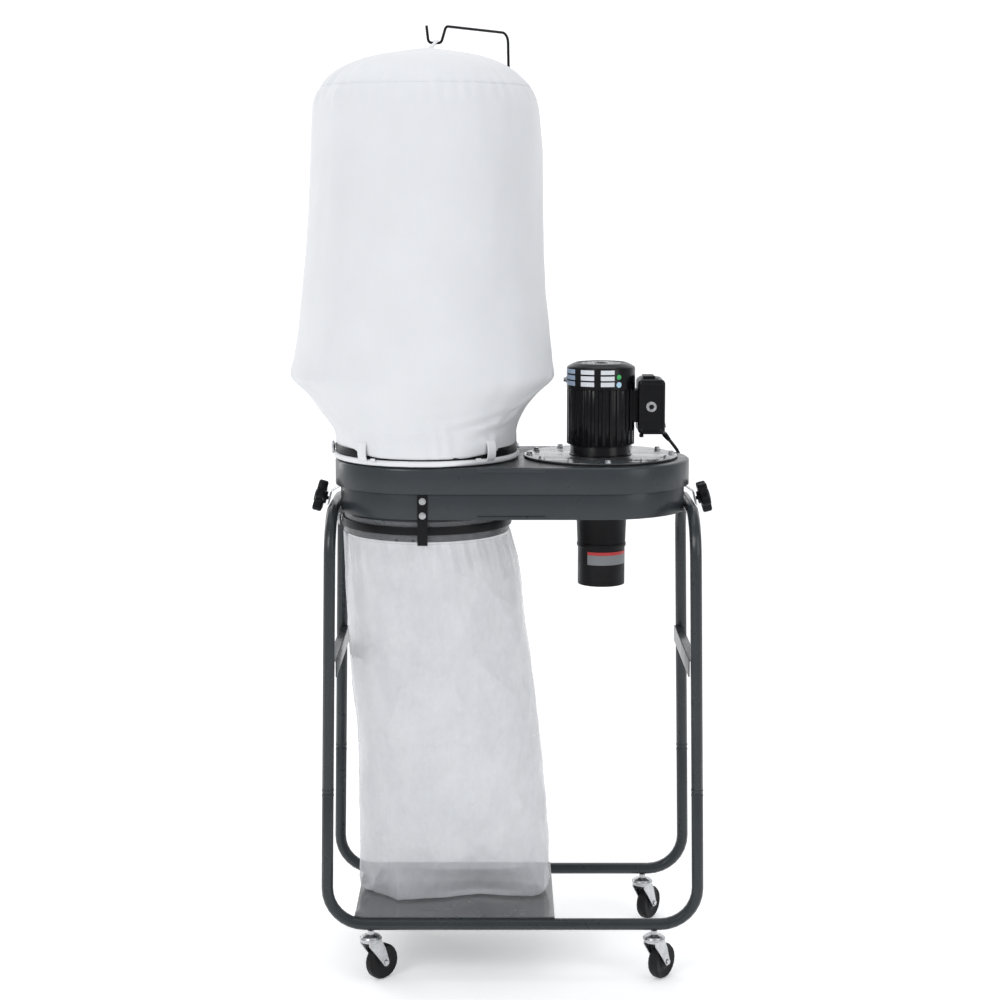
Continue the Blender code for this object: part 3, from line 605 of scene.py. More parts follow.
def build_plug():
    """A moulded three-pin plug, lying on the coil with its pins along -X."""
    relief = strain_relief(
        plug_start + Vector((-0.026, 0, 0)), (1, 0, 0), 0.022, 0.0068, 0.0046, "plug_relief"
    )
    body_x = plug_start.x - 0.026
    rows = []
    sections = [
        (0.000, 0.0074, 0.0072),
        (0.003, 0.0096, 0.0082),
        (0.009, 0.0118, 0.0088),
        (0.018, 0.0132, 0.0090),
        (0.028, 0.0150, 0.0090),
        (0.031, 0.0158, 0.0091),
        (0.0345, 0.0160, 0.0091),
        (0.0360, 0.0152, 0.0084),
    ]
    for along, half_y, half_z in sections:
        ring = []
        for i in range(40):
            a = 2 * math.pi * i / 40
            c, s = math.cos(a), math.sin(a)
            y = math.copysign(abs(c) ** 0.55, c) * half_y
            z = math.copysign(abs(s) ** 0.55, s) * half_z
            ring.append((body_x - along, plug_start.y + y, plug_start.z + z))
        rows.append(ring)
    body = publish(
        "plug_body", grid_mesh("plug_body", np.array(rows), caps=("first", "last")), RUBBER,
    )
    face = body_x - 0.036
    parts = []
    for y, z, r in ((-0.0065, 0.003, 0.0022), (0.0065, 0.003, 0.0022), (0.0, -0.0045, 0.0025)):
        start = Vector((face, plug_start.y + y, plug_start.z + z))
        profile = [(r, -0.002), (r, 0.0150), (r * 0.8, 0.0168), (r * 0.3, 0.0174)]
        parts.append(turned(profile, start, 20, axis=(-1, 0, 0)))
    pins = place("plug_pins", joined(parts), ZINC, slot="zinc")
    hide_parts("mains_plug")
    return [relief, body, pins]


def build_ties():
    """A hook-and-loop tie round the coil, and clips that hold the cord behind the rear leg and tube."""
    a = math.radians(205)
    out = Vector((math.cos(a), math.sin(a), 0))
    along = Vector((-out.y, out.x, 0))
    loop = []
    half_r, half_z, mid_r, mid_z = 0.0122, 0.0088, 0.0409, 0.0090
    for i in range(33):
        t = 2 * math.pi * i / 32
        c, s = math.cos(t), math.sin(t)
        r = mid_r + math.copysign(abs(c) ** 0.5, c) * half_r
        z = mid_z + math.copysign(abs(s) ** 0.5, s) * half_z
        loop.append(COIL + out * r + Vector((0, 0, z + 0.0002)))
    tail = loop[8] + Vector((0, 0, 0.0012))
    strap = ribbon(loop, along, 0.012, 0.0010)
    end = ribbon([tail + out * d for d in (-0.004, 0.004, 0.012)], along, 0.012, 0.0010)
    pieces = [place("coil_tie", joined([strap, end]), PLASTIC, slot="black_plastic")]

    parts = []
    for x, z in ((0.3753, 0.868), (0.3792, 0.640), (0.3830, 0.408)):
        leg = Vector((0.387 + (0.200 - z) * math.tan(math.radians(1.0)) + CX, 0.177, z))
        cord_at = Vector((x + CX, 0.1945, z))
        parts.append(belt(leg + Vector((0, 0.0098, 0)), 0.0045, cord_at, 0.0042, (0, 0, 1)))
    for x in (0.285, 0.120):
        tube = Vector((x + CX, 0.177, 0.1247))
        cord_at = Vector((x + CX, 0.1945, 0.1230))
        parts.append(belt(tube + Vector((0, 0.0098, 0)), 0.0045, cord_at, 0.0042, (1, 0, 0)))
    pieces.append(place("cord_ties", joined(parts), PLASTIC, slot="black_plastic"))
    return pieces


def belt(first, r1, second, r2, axis):
    """bmesh of a slim band round two parallel bars."""
    axis = Vector(axis)
    across = (second - first)
    across = (across - axis * across.dot(axis)).normalized()
    other = axis.cross(across)
    gap = (second - first).dot(across)
    lean = math.asin((r1 - r2) / gap)
    loop = []
    for i in range(25):
        a = math.pi / 2 - lean + (2 * math.pi - 2 * (math.pi / 2 - lean)) * i / 24
        loop.append(first + (across * math.cos(a) + other * math.sin(a)) * r1)
    for i in range(13):
        a = -(math.pi / 2 - lean) + 2 * (math.pi / 2 - lean) * i / 12
        loop.append(first + across * gap + (across * math.cos(a) + other * math.sin(a)) * r2)
    loop.append(loop[0])
    head = loop[12] + (loop[12] - first).normalized() * 0.0012
    size = Vector((0.0028, 0.0028, 0.0028))
    return joined([ribbon(loop, axis, 0.0036, 0.0010), slab(head - size, head + size, 0.0006)])


gland_sleeve = strain_relief(
    exit_point + GLAND_AXIS * 0.0004, GLAND_AXIS, 0.020, 0.0058, 0.0044, "gland_sleeve"
)
on_cord = [*build_plug(), *build_ties(), gland_sleeve]

# ---------------------------------------------------------------- CAD nodes: materials
SLOT_FINISH = {
    "tube_paint": PAINT,
    "housing_paint": HOUSING,
    "zinc": ZINC,
    "steel": STEEL,
    "black_plastic": PLASTIC,
    "black_gloss": GLOSS,
    "black_rubber": RUBBER,
    "filter_cloth": FELT,
    "clear_film": FILM,
    "copper": COPPER,
}
FINE_NODES = {
    "rocker_switch", "filter_bag_clamp_band", "collection_bag_clamp_band", "base_plate", "motor_body"
}


def smooth_by_angle():
    """A node group that smooths every face and keeps the edges sharper than 32 degrees."""
    group = bpy.data.node_groups.new("smooth_by_angle", "GeometryNodeTree")
    group.interface.new_socket("Geometry", in_out="INPUT", socket_type="NodeSocketGeometry")
    group.interface.new_socket("Geometry", in_out="OUTPUT", socket_type="NodeSocketGeometry")
    start = group.nodes.new("NodeGroupInput")
    end = group.nodes.new("NodeGroupOutput")
    faces = group.nodes.new("GeometryNodeSetShadeSmooth")
    edges = group.nodes.new("GeometryNodeSetShadeSmooth")
    edges.domain = "EDGE"
    edges.inputs["Shade Smooth"].default_value = False
    angle = group.nodes.new("GeometryNodeInputMeshEdgeAngle")
    compare = group.nodes.new("FunctionNodeCompare")
    compare.data_type = "FLOAT"
    compare.operation = "GREATER_THAN"
    compare.inputs[1].default_value = math.radians(32)
    group.links.new(angle.outputs["Unsigned Angle"], compare.inputs[0])
    group.links.new(compare.outputs[0], edges.inputs["Selection"])
    group.links.new(start.outputs[0], faces.inputs["Geometry"])
    group.links.new(faces.outputs[0], edges.inputs["Geometry"])
    group.links.new(edges.outputs[0], end.inputs[0])
    return group


SMOOTH = smooth_by_angle()


def soften(obj, width):
    """Rounds a CAD node's sharp edges and smooths its facets, with modifiers only."""
    weld = obj.modifiers.new("weld", "WELD")
    weld.merge_threshold = 0.00002
    edge = obj.modifiers.new("edge_round", "BEVEL")
    edge.width = width
    edge.segments = 2
    edge.limit_method = "ANGLE"
    edge.angle_limit = math.radians(35)
    edge.use_clamp_overlap = True
    smooth = obj.modifiers.new("smooth", "NODES")
    smooth.node_group = SMOOTH


SLOT_OF = {part["node"]: part["material_slot"] for part in frame["record"]["subparts"]}
for node, obj in frame["nodes"].items():
    wanted = SLOT_FINISH.get(SLOT_OF.get(node, ""), PAINT)
    if node.endswith("caster_wheel"):
        wanted = TYRE
    if node == "motor_plate":
        wanted = PLATE_PAINT_WITH_PAINTED_REFLECTION
    for index in range(len(obj.material_slots)):
        obj.material_slots[index].material = wanted
    soften(obj, 0.0004 if node in FINE_NODES else 0.0007)


# ---------------------------------------------------------------- filter bag
def table(rows, z, column):
    """Linear reading of a table whose first column is a height."""
    heights = [r[0] for r in rows]
    return float(np.interp(z, heights, [r[column] for r in rows]))


def swell(x, centre, width):
    return math.exp(-(((x - centre) / width) ** 2))


def turn_to(a, b):
    """Smallest difference between two angles."""
    return abs((a - b + math.pi) % (2 * math.pi) - math.pi)


FRONT = -math.pi / 2
BAG_EDGES = [  # height, left edge, right edge, half depth, in the stand's frame
    (1.1200, -0.3712, 0.0082, 0.1895),
    (1.1337, -0.3713, 0.0083, 0.1910),
    (1.1508, -0.3735, 0.0092, 0.1960),
    (1.1678, -0.3858, 0.0140, 0.2020),
    (1.1955, -0.4066, 0.0290, 0.2110),
    (1.2252, -0.4274, 0.0532, 0.2200),
    (1.2443, -0.4483, 0.0753, 0.2260),
    (1.2570, -0.4625, 0.0890, 0.2290),
    (1.2654, -0.4649, 0.0905, 0.2310),
    (1.2993, -0.4560, 0.0836, 0.2350),
    (1.3499, -0.4469, 0.0771, 0.2390),
    (1.4338, -0.4374, 0.0680, 0.2430),
    (1.5174, -0.4301, 0.0635, 0.2440),
    (1.6200, -0.4240, 0.0630, 0.2430),
    (1.7326, -0.4191, 0.0634, 0.2420),
    (1.8146, -0.4160, 0.0570, 0.2370),
    (1.8310, -0.4137, 0.0528, 0.2340),
    (1.8473, -0.4073, 0.0465, 0.2280),
    (1.8637, -0.3968, 0.0382, 0.2190),
    (1.8800, -0.3842, 0.0216, 0.2040),
    (1.8963, -0.3633, 0.0050, 0.1840),
    (1.9125, -0.3300, -0.0260, 0.1530),
    (1.9240, -0.2930, -0.0580, 0.1200),
    (1.9330, -0.2450, -0.1050, 0.0700),
    (1.9380, -0.2050, -0.1450, 0.0300),
    (1.9405, -0.1800, -0.1700, 0.0050),
]
TOP_SEAM_Z = 1.8600


def smoothed_heights():
    """Heights closer together where the bag turns quickly."""
    parts = [
        np.linspace(1.1200, 1.1750, 16),
        np.linspace(1.1790, 1.3200, 34),
        np.linspace(1.3300, 1.7900, 50),
        np.linspace(1.7980, 1.8900, 30),
        np.linspace(1.8930, 1.9405, 22),
    ]
    return np.concatenate(parts)


def smooth_table(rows, heights, width=0.007):
    """The table's columns read at the heights, averaged over a short distance so that no row shows as a crease."""
    out = []
    for z in heights:
        near = [z + width * k for k in (-1.0, -0.6, -0.2, 0.2, 0.6, 1.0)]
        narrow = min(1.0, max(0.0, (rows[-1][0] - z) / width))
        picks = [z + (n - z) * narrow for n in near]
        out.append([np.mean([table(rows, n, c) for n in picks]) for c in (1, 2, 3)])
    return out


def filter_bag_rows(columns=256):
    heights = smoothed_heights()
    edges = smooth_table(BAG_EDGES, heights)
    rows = []
    for z, (left, right, depth) in zip(heights, edges):
        mid, half = (left + right) / 2, (right - left) / 2
        rod_x = 0.008 - 0.017 * (z - 1.078) / 0.907
        rod_a = math.atan2(0.172, rod_x - mid)
        rod_r = math.hypot(0.172, rod_x - mid) - 0.0085
        ring = []
        for i in range(columns):
            a = 2 * math.pi * i / columns
            c, s = math.cos(a), math.sin(a)
            push = fold_depth(a, z, half)
            r_x, r_y = half + push, depth + push
            x, y = r_x * c, r_y * s
            reach = math.hypot(x, y)
            real_a = math.atan2(y, x)
            near_rod = math.exp(-((turn_to(real_a, rod_a) / 0.16) ** 4))
            over = max(0.0, reach - rod_r)
            if over:
                k = (reach - over * near_rod) / reach
                x, y = x * k, y * k
            drop = 0.0
            if z < 1.160:
                sag = droop(a)
                low_share = min(1.0, (1.160 - z) / 0.040)
                drop = -0.0125 * sag * low_share
                out = 0.0075 * sag * math.sin(math.pi * min(1.0, low_share * 0.86))
                x += out * c
                y += out * s
            ring.append((CX + mid + x, y, z + drop + lift_of(a, z)))
        rows.append(ring)
    first = []
    for i, (x, y, z) in enumerate(rows[0]):
        a = 2 * math.pi * i / columns
        sag = droop(a)
        k = 1 - (0.0004 + 0.0055 * sag) / 0.19
        first.append((BAG_X + (x - BAG_X) * k, y * k, z + 0.0012 + 0.0015 * sag))
    return np.array([first, *rows])


def droop(a):
    """How far the cloth hangs over the clamp band, from 0 at the sides to 1 at the front."""
    wave = 0.04 * noise.noise(Vector((math.cos(a) * 3, math.sin(a) * 3, 5.0)))
    front = math.exp(-((turn_to(a, FRONT) / 0.80) ** 4))
    back = 0.7 * math.exp(-((turn_to(a, -FRONT) / 0.7) ** 4))
    return max(0.0, front + back + wave * (front + back))


def lift_of(a, z):
    near_top = swell(z, 1.885, 0.035)
    return 0.0022 * near_top * noise.noise(Vector((3.0 * math.cos(a), 3.0 * math.sin(a), 1.0)))


def fold_depth(a, z, half):
    """Creases, gathers and soft undulations of the cloth, outwards from its plain shape."""
    c, s = math.cos(a), math.sin(a)
    round_it = Vector((c * 1.6, s * 1.6, 0))
    depth = 0.0060 * noise.noise(round_it + Vector((0, 0, z * 1.8)))
    depth += 0.0022 * noise.noise(round_it * 3.4 + Vector((7, 0, z * 5.0)))
    seam = swell(z, TOP_SEAM_Z, 0.0045)
    depth -= 0.0010 * seam
    below = swell(z, TOP_SEAM_Z - 0.016, 0.020) + 0.8 * swell(z, TOP_SEAM_Z + 0.012, 0.016)
    ripple = math.sin(46 * a + 5.0 * noise.noise(round_it * 2.2))
    uneven = 0.35 + 0.65 * max(0.0, noise.noise(round_it * 2.6 + Vector((3, 1, 0))) + 0.35)
    depth += 0.0024 * below * ripple * uneven
    left_side = math.exp(-((turn_to(a, math.radians(-150)) / 0.62) ** 2))
    gather = math.sin(30 * a + 40 * (z - 1.85)) * left_side
    depth += 0.0032 * gather * (swell(z, 1.885, 0.030) + 0.5 * swell(z, 1.835, 0.02))
    neck = swell(z, 1.150, 0.040)
    pleat = math.sin(24 * a + 6.0 * noise.noise(round_it * 1.8 + Vector((0, 9, z * 4))))
    depth += 0.0011 * neck * pleat
    slope = min(1.0, max(0.0, (z - 1.145) / 0.04)) * min(1.0, max(0.0, (1.34 - z) / 0.08))
    bend = noise.noise(Vector((c * 3.2, s * 3.2, z * 11.0)))
    depth += 0.0030 * slope * (abs(bend) - 0.22)
    for at, z_at, tilt, wide, deep in FOLDS:
        along = (a - math.radians(at) + math.pi) % (2 * math.pi) - math.pi
        dist = (z - z_at) - tilt * along * half
        reach = math.exp(-((along / wide) ** 2))
        depth -= deep * reach * math.exp(-((dist / 0.0075) ** 2))
        depth += 0.7 * deep * reach * math.exp(-(((dist - 0.016) / 0.011) ** 2))
    return depth


FOLDS = [  # angle, height, slope, half width in radians, depth: creases near the lower edge
    (-40, 1.160, 0.16, 0.30, 0.0060),
    (-50, 1.182, 0.20, 0.34, 0.0052),
    (-24, 1.206, 0.55, 0.26, 0.0085),
    (-12, 1.262, 1.10, 0.20, 0.0065),
    (-6, 1.330, 1.60, 0.16, 0.0040),
    (-148, 1.205, -0.75, 0.24, 0.0026),
    (-165, 1.240, -0.60, 0.20, 0.0030),
    (-80, 1.190, 0.05, 0.45, 0.0018),
    (100, 1.200, 0.30, 0.30, 0.0060),
    (60, 1.225, -0.60, 0.28, 0.0060),
    (150, 1.210, 0.55, 0.28, 0.0065),
]

bag_rows = filter_bag_rows()
bag_mesh = grid_mesh("filter_bag_cloth", bag_rows, caps=("last",))
filter_bag = publish("filter_bag_cloth", bag_mesh, FELT)
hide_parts("filter_bag")
skin = filter_bag.modifiers.new("cloth_thickness", "SOLIDIFY")
skin.thickness = 0.001
skin.offset = -1.0


HEM_SECTION = [
    (0.1890, 1.1036),
    (0.1915, 1.1042),
    (0.1942, 1.1034),
    (0.1960, 1.1012),
    (0.1966, 1.0984),
    (0.1958, 1.0956),
    (0.1938, 1.0934),
    (0.1915, 1.0924),
    (0.1896, 1.0928),
]


def hem_rows():
    """The bag's hemmed end, below the clamp band."""
    rows = []
    for r, z in HEM_SECTION:
        ring = []
        for i in range(220):
            a = 2 * math.pi * i / 220
            wave = 0.0022 * noise.noise(Vector((math.cos(a) * 4, math.sin(a) * 4, 2.0)))
            wave += 0.0009 * noise.noise(Vector((math.cos(a) * 17, math.sin(a) * 17, 5.0)))
            share = min(1.0, (r - 0.1889) / 0.005)
            ring.append(
                (
                    BAG_X + (r + wave * share) * math.cos(a), (r + wave * share) * math.sin(a),
                    z + wave * 0.5 * share
                )
            )
        rows.append(ring)
    return np.array(rows)


hem = publish("filter_bag_hem", grid_mesh("filter_bag_hem", hem_rows()), WEBBING)


def seam_line():
    """The corded seam where the bag's round top joins its side."""
    index = int(np.argmin([abs(r[64][2] - TOP_SEAM_Z) for r in bag_rows]))
    ring = [Vector(p) for p in bag_rows[index]]
    centre = Vector((BAG_X, 0, TOP_SEAM_Z))
    line = [p + (p - centre).normalized() * 0.0001 for p in ring]
    line.append(line[0])
    return bar(line, 0.0010, 8)


top_seam = place("filter_bag_top_seam", seam_line(), FELT, slot="filter_cloth")


def side_seam():
    """The felled seam down the bag's back."""
    column = 64
    line = []
    for row in bag_rows[8:-36]:
        p = Vector(row[column])
        out = Vector((p.x - BAG_X, p.y, 0)).normalized()
        line.append(p + out * 0.0006)
    return ribbon(line, (1, 0, 0), 0.012, 0.0012)


back_seam = place("filter_bag_back_seam", side_seam(), FELT, slot="filter_cloth")


def hanging_loop():
    """The strap at the bag's top, over the rod's hook."""
    apex = bag_rows[-1].mean(axis=0)
    hook = Vector((CX - 0.1585, -0.0040, 1.9510))
    points = []
    low = Vector((apex[0] + 0.004, 0.0, 1.9380))
    for y_sign in (-1, 1):
        side = []
        for t in np.linspace(0, 1, 9):
            x = low.x + (hook.x - low.x) * (t**1.4)
            y = hook.y + y_sign * (0.0105 * (1 - t) ** 0.6 + 0.0046 * t)
            side.append(Vector((x, y, low.z + (hook.z + 0.0010 - low.z) * t)))
        points.append(side)
    top = []
    for d in range(10, 171, 20):
        a = math.radians(d)
        top.append(
            Vector((hook.x, hook.y - 0.0046 * math.cos(a), hook.z + 0.0010 + 0.0052 * math.sin(a)))
        )
    line = points[0] + top + points[1][::-1]
    strap = ribbon(line, (1, 0.0, 0.25), 0.011, 0.0010)
    patch = turned(
        [(0.026, -0.0020), (0.0262, -0.0004), (0.022, 0.0012), (0.010, 0.0028), (0.002, 0.0034)],
        (apex[0], 0.0, 1.9378),
        40,
    )
    return joined([strap, patch])


loop = place("filter_bag_hanging_loop", hanging_loop(), WEBBING, slot="filter_cloth")


def belt_loops():
    """Two webbing loops that carry the clamp band, and the small tabs beside them."""
    parts = []
    for at in (-129.0, -46.5, 50.0, 129.0):
        a = math.radians(at)
        out = Vector((math.cos(a), math.sin(a), 0))
        base = Vector((BAG_X, 0, 0))
        arc = []
        for i in range(17):
            t = math.pi * i / 16
            r = 0.1925 + 0.0095 * math.sin(t) ** 0.75
            arc.append(base + out * r + Vector((0, 0, 1.1200 + 0.0205 * math.cos(t))))
        parts.append(ribbon(arc, (-out.y, out.x, 0), 0.021, 0.0028))
    for start, end in ((-122.5, -119.5), (-58.0, -54.5)):
        parts.append(wrapped_patch(BAG_X, 0.2005, start, end, 1.1020, 1.1075, 0.0010, 4))
    return joined(parts)


loops = place("filter_bag_belt_loops", belt_loops(), WEBBING, slot="filter_cloth")

# ---------------------------------------------------------------- collection bag
FILM_EDGES = [  # height, left edge, right edge, half depth, squareness, in the stand's frame
    (0.1425, -0.3200, 0.0720, 0.0640, 0.62),
    (0.1500, -0.3290, 0.0810, 0.0740, 0.62),
    (0.1700, -0.3325, 0.0850, 0.0820, 0.66),
    (0.2600, -0.3305, 0.0790, 0.1060, 0.74),
    (0.3386, -0.3298, 0.0738, 0.1210, 0.82),
    (0.4723, -0.3290, 0.0648, 0.1390, 0.90),
    (0.5608, -0.3400, 0.0537, 0.1490, 0.94),
    (0.6709, -0.3495, 0.0384, 0.1590, 0.97),
    (0.8454, -0.3550, 0.0167, 0.1710, 1.0),
    (0.8900, -0.3565, 0.0070, 0.1745, 1.0),
    (0.9320, -0.3578, -0.0050, 0.1762, 1.0),
    (0.9480, -0.3583, -0.0047, 0.1766, 1.0),
    (0.9700, -0.3583, -0.0047, 0.1766, 1.0),
    (0.9770, -0.3592, -0.0038, 0.1776, 1.0),
]


# the bag's front edge on the plate
FOOT_X = (-0.331, -0.300, -0.246, -0.170, -0.073, -0.010, 0.045, 0.070, 0.085)
FOOT_Y = (0.015, -0.035, -0.088, -0.070, -0.044, -0.050, -0.058, -0.045, 0.020)


def crumple(point, scale, sharp):
    """Ridged noise: flat facets with sharp creases between them."""
    value = noise.noise(point * scale)
    return (1 - abs(value) ** sharp * 2.0) * 0.5


def collection_bag_rows(columns=300):
    heights = np.concatenate(
        [
            np.linspace(0.9770, 0.9300, 16), np.linspace(0.9270, 0.2000, 190),
            np.linspace(0.1970, 0.1425, 18),
        ]
    )
    rows = []
    for z in heights:
        picks = [table(FILM_EDGES, z, c) for c in (1, 2, 3, 4)]
        left, right, depth, square = picks
        mid, half = (left + right) / 2, (right - left) / 2
        free = min(1.0, max(0.0, (0.948 - z) / 0.10))
        neck = swell(z, 0.930, 0.060) * min(1.0, max(0.0, (0.949 - z) / 0.012))
        ring = []
        for i in range(columns):
            a = 2 * math.pi * i / columns
            c, s = math.cos(a), math.sin(a)
            x = math.copysign(abs(c) ** square, c) * half
            y = math.copysign(abs(s) ** square, s) * depth
            p = Vector((x, y, z * 0.55))
            push = 0.0090 * noise.noise(p * 5.5 + Vector((4, 2, 9)))
            push += 0.0100 * (crumple(p + Vector((0.3, 0.8, 0.0)), 9.0, 0.8) - 0.28)
            push += 0.0046 * (crumple(p + Vector((5.0, 1.0, 2.0)), 19.0, 0.8) - 0.28)
            push += 0.0014 * (crumple(p + Vector((2.0, 6.0, 3.0)), 43.0, 0.9) - 0.28)
            push *= free
            pleats = math.sin(34 * a + 5 * noise.noise(Vector((c * 2, s * 2, 3)))) ** 3
            push += 0.0030 * neck * pleats
            side = abs(c) ** 3
            push -= 0.35 * push * side
            low_share = min(1.0, max(0.0, (0.215 - z) / 0.060))
            if s < 0 and low_share > 0:
                y += (float(np.interp(x + mid, FOOT_X, FOOT_Y)) - y) * low_share * min(1.0, -s * 2.2)
            ring.append((CX + mid + x + push * c, y + push * s, max(z, PLATE_TOP + 0.0012)))
        rows.append(ring)
    low = rows[-1]
    mid_x = float(np.mean([p[0] for p in low]))
    for share, drop in ((0.96, 0.0006), (0.88, 0.0010), (0.60, 0.0012), (0.25, 0.0012)):
        rows.append(
            [(mid_x + (x - mid_x) * share, y * share, max(z - drop, PLATE_TOP + 0.0008)) for x, y, z in low]
        )
    return np.array(rows)


film_mesh = grid_mesh("collection_bag_film", collection_bag_rows(), caps=("last",))
collection_bag = publish("collection_bag_film", film_mesh, FILM)
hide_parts("collection_bag")

# ---------------------------------------------------------------- base plate
PLATE_BEND_X = CX - 0.3085  # where the bottom tubes begin to rise
PLATE_BEND_R = 0.078
CORNER_START, CORNER_WIDTH = 0.120, 0.040  # the plate's corners, from the middle line outwards
PLATE_DISH = 0.0006


def base_plate():
    """The sheet on the bottom tubes; its left corners follow the tubes where they begin to rise."""
    low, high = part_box("base_plate")
    bend_x = PLATE_BEND_X
    columns = np.concatenate([np.linspace(low.x, bend_x, 10), np.linspace(bend_x + 0.004, high.x, 60)])
    lines = np.linspace(low.y, high.y, 60)
    rows = []
    for y in lines:
        ring = []
        for x in columns:
            past = max(0.0, bend_x - x)
            near = min(1.0, max(0.0, (abs(y) - CORNER_START) / CORNER_WIDTH))
            rise = PLATE_BEND_R - math.sqrt(PLATE_BEND_R**2 - past**2)
            along = math.sin(math.pi * (x - low.x) / (high.x - low.x))
            dish = -PLATE_DISH * along * math.cos(math.pi * y / 0.36)
            eased = near * near * (3 - 2 * near)
            ring.append((x, y, high.z + dish + (rise + 0.0004) * eased * (past > 0)))
        rows.append(ring)
    return grid_mesh("base_plate_sheet", np.array(rows), wrap=False)


plate = publish("base_plate_sheet", base_plate(), PLATE_PAINT_WITH_PAINTED_REFLECTION)
plate_skin = plate.modifiers.new("sheet_thickness", "SOLIDIFY")
plate_skin.thickness = 0.0015
plate_skin.offset = -1.0
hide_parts("base_plate")

# ---------------------------------------------------------------- metal and plastic trim
def collar_trim():
    """Rolled beads at the edges of the two collars."""
    parts = []
    for radius, z in ((0.1722, 0.9390), (0.1722, 0.9445)):
        circle = [
            (BAG_X + radius * math.cos(a), radius * math.sin(a), z)
            for a in (2 * math.pi * i / 120 for i in range(121))
        ]
        parts.append(bar(circle, 0.0022, 10))
    return joined(parts)


place("drum_collar_beads", collar_trim(), HOUSING, slot="housing_paint")

front_y = -0.190
strips = [
    slab((CX - 0.0727, front_y - 0.0022, 1.0815), (CX + 0.0670, front_y + 0.0006, 1.0885), 0.0007),
    slab((CX - 0.0727, front_y + 0.0026, 0.9845), (CX + 0.0670, front_y + 0.0056, 0.9905), 0.0007),
]
place("housing_lip_strips", joined(strips), HOUSING, slot="housing_paint")

strip_low, strip_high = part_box("retaining_strip")
strip_x = (strip_low.x + strip_high.x) / 2
bolts = [
    bolt((strip_x, strip_low.y, z), (0, -1, 0), 0.010, 0.0042, 0.0072, spin=0.3 * k)
    for k, z in enumerate((1.0215, 0.9920))
]
place("retaining_strip_bolts", joined(bolts), ZINC, slot="zinc")

plate_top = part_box("motor_plate")[1].z
plate_bolts = []
for k in range(12):
    a = math.radians(3 + 30 * k)
    at = (FAN_X + 0.151 * math.cos(a), 0.151 * math.sin(a), plate_top)
    plate_bolts.append(bolt(at, (0, 0, 1), 0.010, 0.0046, 0.0072, spin=0.5 * k))
place("motor_plate_bolts", joined(plate_bolts), ZINC, slot="zinc")

rod_x = CX + 0.008 - 0.017 * (1.092 - 1.078) / 0.907
place(
    "rod_nut", bolt((rod_x, 0.172, 1.0903), (0, 0, 1), 0.013, 0.0068, 0.0105, stud=0.0), ZINC,
    slot="zinc"
)

place(
    "motor_side_bolt",
    joined([bolt((FAN_X - 0.0722, 0, 1.2540), (-1, 0, 0), 0.009, 0.0052, 0.0068)]),
    ZINC,
    slot="zinc",
)


def motor_rings():
    """The bright machined ring at the motor's neck."""
    neck = turned(
        [(0.0642, 1.1155), (0.0652, 1.1158), (0.0655, 1.1168), (0.0652, 1.1178), (0.0642, 1.1180)],
        (FAN_X, 0, 0),
        96,
        closed=True,
    )
    return neck


place("motor_neck_ring", motor_rings(), GLOSS, slot="black_gloss")


def fan_cover():
    """The pressed cover, with a ring of slots open round its raised middle."""
    side = 0.0722
    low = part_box("fan_cover")[0].z
    profile = [(side - 0.0014, low), (side, low), (side, 1.2450), (side, 1.2790), (0.0716, 1.2812)]
    profile += [
        (0.0700, 1.2828), (0.0640, 1.2862), (0.0590, 1.2888), (0.0560, 1.2900), (0.0545, 1.2902)
    ]
    profile += [(0.0532, 1.2896), (0.0520, 1.2880), (0.0520, 1.2862)]
    inside = [
        (0.0532, 1.2862), (0.0545, 1.2880), (0.0640, 1.2842), (0.0694, 1.2806), (side - 0.0014, 1.2780)
    ]
    shell = turned(profile + inside, (FAN_X, 0, 0), 96, closed=True)
    hub = turned(
        [(0.0100, 1.2868), (0.0160, 1.2868), (0.0160, 1.2890), (0.0140, 1.2902), (0.0100, 1.2902)],
        (FAN_X, 0, 0), 48, closed=True
    )
    return joined([shell, hub])


def cover_spokes():
    """The bright-edged bars of the grille."""
    parts = []
    for k in range(24):
        a = 2 * math.pi * k / 24
        d = Vector((math.cos(a), math.sin(a), 0))
        start = Vector((FAN_X, 0, 1.2884))
        parts.append(ribbon([start + d * 0.0145, start + d * 0.0535], (-d.y, d.x, 0), 0.0030, 0.0012))
    for r in (0.0270, 0.0400):
        ring = [
            (
                FAN_X + r * math.cos(t), r * math.sin(t), 1.2884
            ) for t in (2 * math.pi * i / 72 for i in range(73))
        ]
        parts.append(bar(ring, 0.0010, 8))
    return joined(parts)


cover = place("fan_cover_fine", fan_cover(), GLOSS, slot="black_gloss")
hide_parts("fan_cover")
place("cover_grille", cover_spokes(), STEEL, slot="black_gloss")

